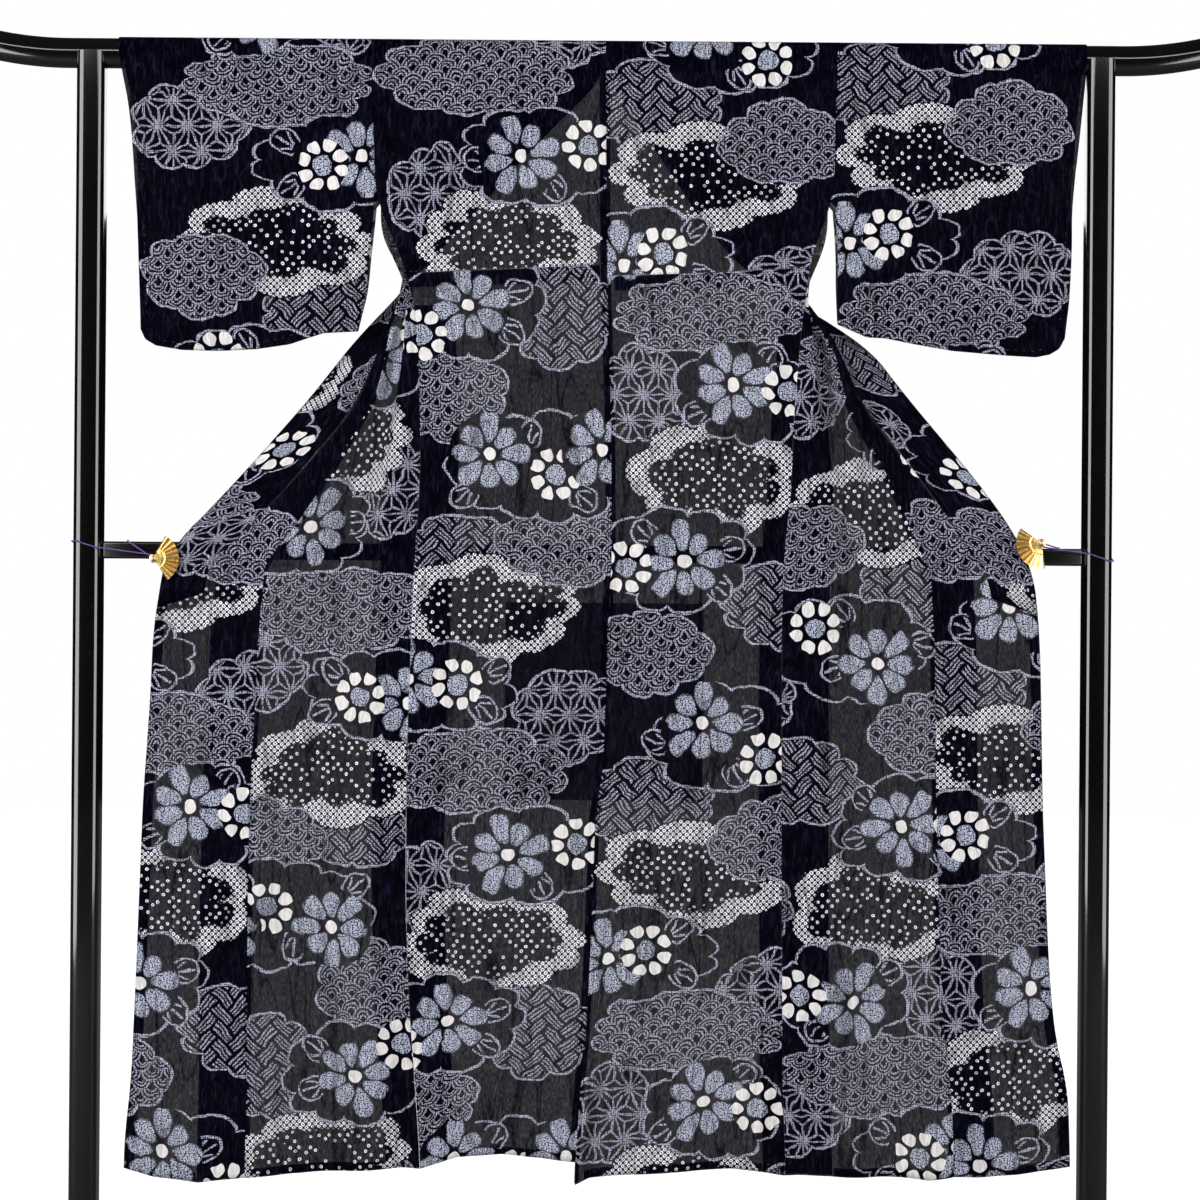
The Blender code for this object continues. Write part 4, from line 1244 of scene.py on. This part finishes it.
LINING_TOP, LINING_FOOT = 912.0, 636.0
grid, bolt = [], []
for z in steps_between(LINING_TOP, LINING_FOOT, 7.0)[::-1]:
    row, marks = [], []
    for x in np.linspace(-121, 156, 44):
        half = "left" if x < curve(CENTRE, z) else "right"
        row.append((x, back_depth(x, z) + 1.8, hem_shift(half, x, z)))
        marks.append((x, z))
    grid.append(row)
    bolt.append(marks)
lining = cloth_wall("yukata_seat_lining", grid, bolt, "right")
lining.data.materials.clear()
lining.data.materials.append(lining_cloth)
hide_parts("seat_lining")


# The fan clips: pressed and gilded brass, a pleated leaf over a rear jaw on one pin, which holds
# the front's edge between them. A boss and a worn knob cover the pin's end.

gilt, metal = new_material("gilt brass", Metallic=1.0)
tarnish = noise(object_place(gilt), 160, 4, dimensions="3D")
dress(metal, Base_Color=blend(tarnish, (0.86, 0.62, 0.25, 1), (0.55, 0.34, 0.10, 1), "RGBA"),
      Roughness=tarnish * 0.25 + 0.16)
knob_metal = new_material("worn nickel knob", Base_Color=(0.50, 0.33, 0.24, 1), Roughness=0.42,
                          Metallic=1.0)[0]


def joined_parts(*parts):
    """One list of points and faces from several closed forms."""
    verts, faces = [], []
    for part_verts, part_faces in parts:
        faces += [tuple(v + len(verts) for v in face) for face in part_faces]
        verts += list(part_verts)
    return verts, faces


def turned_form(axis_x, axis_z, profile, sides=28):
    """A form turned about a level axis that runs away from the viewer; the profile is (y, radius)."""
    verts = [(axis_x + radius * across, y, axis_z + radius * up)
             for y, radius in profile for across, up in circle(sides)]
    return verts, tube_faces(len(profile), sides)


def spread_pieces(name, places, headings, pattern, material, uneven):
    """Sets copies of one small form at a list of places, with Geometry Nodes."""
    group = bpy.data.node_groups.new("set out " + name, "GeometryNodeTree")
    for label, kind in (("Places", "Geometry"), ("Form", "Object"), ("Material", "Material"),
                        ("Uneven", "Float"), ("Seed", "Int")):
        group.interface.new_socket(label, in_out="INPUT", socket_type="NodeSocket" + kind)
    group.interface.new_socket("Pieces", in_out="OUTPUT", socket_type="NodeSocketGeometry")
    given = group.nodes.new("NodeGroupInput").outputs
    odds = Number(given["Uneven"])
    heading = group.nodes.new("GeometryNodeInputNamedAttribute")
    heading.data_type = "FLOAT_VECTOR"
    heading.inputs["Name"].default_value = "heading"
    turn = group.nodes.new("FunctionNodeEulerToRotation")
    form = group.nodes.new("GeometryNodeObjectInfo")
    form.inputs["As Instance"].default_value = True
    size = group.nodes.new("FunctionNodeRandomValue")
    size.data_type = "FLOAT"
    copies = group.nodes.new("GeometryNodeInstanceOnPoints")
    real = group.nodes.new("GeometryNodeRealizeInstances")
    dressed = group.nodes.new("GeometryNodeSetMaterial")
    result = group.nodes.new("NodeGroupOutput")
    sizes = {socket.identifier: socket for socket in (*size.inputs, *size.outputs)}
    feed(sizes["Min_001"], 1.0 - odds)
    feed(sizes["Max_001"], odds + 1.0)
    for source, target in (
            (heading.outputs["Attribute"], turn.inputs[0]), (given["Form"], form.inputs["Object"]),
            (given["Seed"], sizes["Seed"]), (given["Places"], copies.inputs["Points"]),
            (form.outputs["Geometry"], copies.inputs["Instance"]),
            (turn.outputs[0], copies.inputs["Rotation"]),
            (sizes["Value_001"], copies.inputs["Scale"]), (copies.outputs[0], real.inputs[0]),
            (real.outputs[0], dressed.inputs["Geometry"]), (given["Material"], dressed.inputs["Material"]),
            (dressed.outputs[0], result.inputs[0])):
        group.links.new(source, target)

    single = make_piece(name + "_form", *pattern, material)
    mesh = bpy.data.meshes.new(name)
    mesh.from_pydata([tuple(p) for p in places], [], [])
    mesh.attributes.new("heading", "FLOAT_VECTOR", "POINT").data.foreach_set("vector", np.ravel(headings))
    piece = add_object(name, mesh)
    spread = piece.modifiers.new("set out", "NODES")
    spread.node_group = group
    identifiers = {item.name: item.identifier for item in group.interface.items_tree
                   if item.in_out == "INPUT"}
    for label, value in (("Form", single), ("Material", material), ("Uneven", uneven), ("Seed", 7)):
        spread[identifiers[label]] = value
    done = bpy.data.meshes.new_from_object(piece.evaluated_get(bpy.context.evaluated_depsgraph_get()))
    piece.modifiers.clear()
    piece.data = done
    done.shade_smooth()
    bpy.data.objects.remove(single)
    return piece


# The pin's place, the leaf's first and last bearing, the cord's rise in front and behind, and where
# along the tie bar the cord goes over it.
FANS = {
    "left": {"x": -0.611, "z": 0.969, "from": -57.0, "to": 63.0,
             "cord_front": 0.024, "cord_rear": 0.020, "over": -0.652},
    "right": {"x": 0.625, "z": 1.000, "from": 145.0, "to": 278.0,
              "cord_front": -0.024, "cord_rear": -0.015, "over": 0.654},
}
LEAF_Y, JAW_Y = -0.031, -0.0195
PLEATS, LEAF_RADIUS, RIM_RADIUS, RIB_START = 9, 0.035, 0.0165, 0.0093
LEAF_WALL = 0.0006
# The turned parts, as (place along the axis, radius).
BOSS = [(LEAF_Y + y, radius) for y, radius in (
    (0.0014, 0.0055), (0.0008, 0.0059), (-0.0006, 0.0060), (-0.0014, 0.0054), (-0.0018, 0.0044),
    (-0.0020, 0.0036))]
KNOB = [(LEAF_Y - y, radius) for y, radius in (
    (0.0021, 0.0018), (0.0025, 0.0031), (0.0033, 0.0039), (0.0044, 0.0041), (0.0055, 0.0037),
    (0.0064, 0.0026), (0.0068, 0.0010))]
PIN = [(LEAF_Y, 0.0029), (JAW_Y - 0.0006, 0.0029), (JAW_Y + 0.0012, 0.0027), (JAW_Y + 0.0016, 0.0018)]
JAW = ((-0.0040, 0.0010), (-0.0032, 0.0026), (0.0, 0.0030), (0.020, 0.0022), (0.030, 0.0019),
       (0.0332, 0.0014), (0.0340, 0.0006))
RIB = ((0.0, 0.00012), (0.0008, 0.00034), (0.0056, 0.00042), (0.0064, 0.00015))


def leaf_height(radius, share):
    """How far the pressed leaf stands forward: deep pleats outside the rim, low ribs inside it."""
    fold = 1 - abs(2 * ((PLEATS * share) % 1) - 1) ** 1.2
    outer = 0.0003 + 0.0031 * fold * radius / LEAF_RADIUS
    rim = 0.0020 * math.exp(-((radius - RIM_RADIUS) / 0.0009) ** 2)
    return max(0.0004 if radius < RIM_RADIUS else outer, rim)


for side in ("left", "right"):
    place = FANS[side]
    pin_x, pin_z = place["x"], place["z"]
    radii = [0.0055, 0.009, 0.012, 0.0145] + [RIM_RADIUS + 0.0005 * k for k in range(-3, 4)]
    radii += [0.0195, 0.022, 0.025, 0.028, 0.031, 0.0333, 0.0344, LEAF_RADIUS]
    steps = PLEATS * 14
    front_skin, back_skin = [], []
    for radius in radii:
        for k in range(steps + 1):
            share = k / steps
            turn = math.radians(place["from"] + (place["to"] - place["from"]) * share)
            bulge = 1 - abs(2 * ((PLEATS * share) % 1) - 1) ** 2
            scallop = radius * (1 + 0.03 * smooth(0.028, LEAF_RADIUS, radius) * bulge)
            x = pin_x + scallop * math.cos(turn)
            z = pin_z + scallop * math.sin(turn)
            height = leaf_height(radius, share)
            front_skin.append((x, LEAF_Y - height, z))
            back_skin.append((x, LEAF_Y - height + LEAF_WALL, z))
    wide = steps + 1
    faces = []
    for i in range(len(radii) - 1):
        for k in range(steps):
            a = i * wide + k
            faces.append((a, a + 1, a + 1 + wide, a + wide))
    back = len(front_skin)
    faces += [tuple(back + v for v in face[::-1]) for face in faces]
    rim_loop = list(range(wide)) + [i * wide + steps for i in range(1, len(radii))]
    rim_loop += list(range(len(front_skin) - 2, len(front_skin) - wide - 1, -1))
    rim_loop += [i * wide for i in range(len(radii) - 2, 0, -1)]
    faces += [(a, b, back + b, back + a) for a, b in zip(rim_loop, rim_loop[1:] + rim_loop[:1])]
    boss = turned_form(pin_x, pin_z, BOSS)
    pin = turned_form(pin_x, pin_z, PIN)
    middle = math.radians((place["from"] + place["to"]) / 2)
    jaw_verts, jaw_faces = turned_form(0, 0, JAW, 16)
    jaw = ([(pin_x + reach * math.cos(middle) - aside * math.sin(middle), JAW_Y + 0.5 * deep,
             pin_z + reach * math.sin(middle) + aside * math.cos(middle))
            for aside, reach, deep in jaw_verts], jaw_faces)
    leaf_verts, leaf_faces = joined_parts((front_skin + back_skin, faces), boss, pin, jaw)
    clip = make_piece("fan_clip_" + side, leaf_verts, leaf_faces, gilt, 28)
    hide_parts("fan_" + side)
    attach(clip, "root")

    rib_verts, rib_faces = turned_form(0, 0, RIB, 8)
    rib = [(x, z, y) for x, y, z in rib_verts], rib_faces
    places, headings = [], []
    for k in range(2 * PLEATS):
        turn = math.radians(place["from"] + (place["to"] - place["from"]) * (k + 0.5) / (2 * PLEATS))
        places.append((pin_x + RIB_START * math.cos(turn), LEAF_Y - 0.0005,
                       pin_z + RIB_START * math.sin(turn)))
        headings.append((0.0, math.pi / 2 - turn, 0.0))
    ribs = spread_pieces("fan_ribs_" + side, places, headings, rib, gilt, 0.0)
    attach(ribs, "root")

    knob = make_piece("fan_knob_" + side, *turned_form(pin_x, pin_z, KNOB), knob_metal, 60)
    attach(knob, "root")


# The cords: thin twisted silk, each looped from a clip's pin round its post and back over the tie
# bar, so that the clip pulls the front's edge outwards.

silk, strand = new_material("purple silk cord", Roughness=0.5)
# Painted shade: the cord's colour is darker in the grooves between its plies and lighter on their crowns,
# following the twist's swell.
ply_shade_node = silk.node_tree.nodes.new("ShaderNodeAttribute")
ply_shade_node.attribute_name = "ply_shade"
dress(strand, Base_Color=blend(Number(ply_shade_node.outputs["Fac"]), (0.022, 0.006, 0.07, 1),
                               (0.13, 0.045, 0.32, 1), "RGBA"))

CORD_RADIUS, CORD_SIDES, CORD_TWIST, CORD_STEP = 0.001, 14, 0.0042, 0.0004
CORD_OFF_POST = 0.0016  # from the post's face to the cord's middle


def cord_route(side):
    """A loop from the clip's pin, round the post and back over the tie bar, rounded at every turn."""
    out = outward(side)
    place = FANS[side]
    wide, deep = POST_WIDE + CORD_OFF_POST, POST_DEEP + CORD_OFF_POST
    x, z = place["x"], place["z"]
    front, rear = z + place["cord_front"], z + place["cord_rear"]
    inner, outer = out * (POST_X - wide), out * (POST_X + wide)
    y = (LEAF_Y + JAW_Y) / 2
    turn = math.copysign(0.001, place["cord_front"])
    over = place["over"]
    met = z + (front - z) * (inner - x) / (outer - x)
    corners = np.array([
        (x - out * 0.0032, y, z - 3.3 * turn), (x - out * 0.0046, y, z),
        (x - out * 0.0032, y, z + 3.3 * turn), (x, y, z + 4.7 * turn),
        (x + out * 0.008, y + 0.0005, z + 6 * turn),
        (inner + out * 0.007, -deep, met), (outer - out * 0.007, -deep, front),
        (outer - out * 0.002, 0.003 - deep, front), (outer, 0.009 - deep, front),
        (outer, deep - 0.009, rear), (outer - out * 0.002, deep - 0.003, rear),
        (outer - out * 0.007, deep, rear),
        (inner + out * 0.007, deep, rear), (over + out * 0.012, TIE_HALF + 0.006, TIE_TOP - 0.004),
        (over + out * 0.003, TIE_HALF + 0.0014, TIE_TOP),
        (over + out * 0.002, TIE_HALF - 0.001, TIE_TOP + 0.0014),
        (over, 0.001 - TIE_HALF, TIE_TOP + 0.0014),
        (over - out * 0.001, -TIE_HALF - 0.0014, TIE_TOP + 0.0002),
        (x + out * 0.006, y + 0.0005, z - (z - TIE_TOP) * 0.15), (x + out * 0.001, y, z - 4.8 * turn)])
    run = along(corners)
    fine = np.linspace(0, run[-1], int(run[-1] / CORD_STEP))
    dense = np.stack([np.interp(fine, run, corners[:, i]) for i in range(3)], 1)
    kernel = np.hanning(9)
    padded = np.pad(dense, ((4, 4), (0, 0)), mode="edge")
    return np.stack([np.convolve(padded[:, i], kernel / kernel.sum(), "valid") for i in range(3)], 1)


for side in ("left", "right"):
    route = cord_route(side)
    ahead = np.gradient(route, axis=0)
    ahead /= np.linalg.norm(ahead, axis=1, keepdims=True)
    up = np.array((0.0, 0.6, 1.0))
    verts, ply_shade = [], []
    for i, (point, way) in enumerate(zip(route, ahead)):
        up = up - way * up.dot(way)
        up /= np.linalg.norm(up)
        beside = np.cross(way, up)
        for k in range(CORD_SIDES):
            turn = 2 * math.pi * k / CORD_SIDES
            swell = abs(math.cos(turn - math.pi * i * CORD_STEP / CORD_TWIST))
            reach = CORD_RADIUS * (0.80 + 0.24 * swell)
            verts.append(point + reach * (math.cos(turn) * up + math.sin(turn) * beside))
            # The swell sets both the ply's bulge and its painted shade.
            ply_shade.append(swell)
    cord = make_piece("purple_cord_" + side, verts, tube_faces(len(route), CORD_SIDES), silk, 80)
    cord.data.attributes.new("ply_shade", "FLOAT", "POINT").data.foreach_set("value", ply_shade)
    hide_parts("cord_" + side)
    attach(cord, "root")


# The stitching: short hand stitches in navy thread along the tuck, the hems, the sleeves and the
# lining. Each row is laid on the cloth by looking straight through the piece along Y.

thread_dye = new_material("navy sewing thread", Base_Color=(0.022, 0.020, 0.048, 1), Roughness=0.6)[0]


def sewn(name, piece, rows, uneven=0.12):
    """Lays stitches on a piece along rows of (near side, pitch, points), all in millimetres."""
    surface = BVHTree.FromObject(piece, bpy.context.evaluated_depsgraph_get())
    places, headings = [], []
    for near, pitch, points in rows:
        line = np.array(points, float)
        run = along(line)
        for at in np.arange(pitch / 2, run[-1], pitch):
            ends = [np.array([np.interp(at + shift, run, line[:, i]) for i in range(3)])
                    for shift in (-2, 2)]
            x, y, z = (ends[0] + ends[1]) / 2000
            spot, normal, _, _ = surface.ray_cast(Vector((x, near * 0.4, z)), Vector((0, -near, 0)))
            if spot is None:
                continue
            if normal.y * near < 0:
                normal.negate()
            way = Vector(ends[1] - ends[0])
            way = (way - normal * way.dot(normal)).normalized()
            axes = Matrix((way, normal.cross(way), normal)).transposed()
            places.append(spot + normal * 0.00006)
            headings.append(tuple(axes.to_euler()))
    profile = [(-0.00180, 0.00006), (-0.00160, 0.00020), (-0.0009, 0.00027), (0.0009, 0.00027),
               (0.00160, 0.00020), (0.00180, 0.00006)]
    verts, faces = turned_form(0, 0, profile, 6)
    stitches = spread_pieces(name, places, headings, ([(y, x, z * 0.7) for x, y, z in verts], faces),
                             thread_dye, uneven)
    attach(stitches, "root")


for side in ("left", "right"):
    out = outward(side)
    xs = np.linspace(back_outer(side, TUCK) - out * 4, curve(CENTRE, TUCK) + out * 3, 60)
    rows = [(-1, 7.0, back_points(side, TUCK + 1.6, xs))]
    xs = np.linspace(back_outer(side, HEM) - out * 4, curve(CENTRE, HEM) + out * 4, 60)
    rows.append((-1, 14.0, back_points(side, HEM + HEM_DEEP, xs)))
    arcs = np.linspace(4, seams(side, HEM)[0] - 4, 60)
    rows.append((1, 14.0, front_points(side, HEM + HEM_DEEP, arcs)))
    sewn("yukata_body_stitches_" + side, body_panels[side], rows)

    cuff = [(curve(CUFF[side], z) - out * 9, 0, z) for z in np.linspace(1310, 1440, 12)]
    reach = curve(CUFF[side], 1300) - out * 358
    foot = [(out * 350 + reach * share, 0, straight(SLEEVE_LOW[side], share) + 8)
            for share in np.linspace(0.04, 0.94, 30)]
    sewn("yukata_sleeve_stitches_" + side, bpy.data.objects["yukata_sleeve_" + side],
         [(near, 12.0, line) for near in (-1, 1) for line in (cuff, foot)])

low, high = LINING_FOOT + 6, LINING_TOP - 4
border = ((-117, low), (152, low), (152, high), (-117, high), (-117, low))
sewn("yukata_lining_stitches", lining, [(1, 9.0, [(x, 0, z) for x, z in border])])
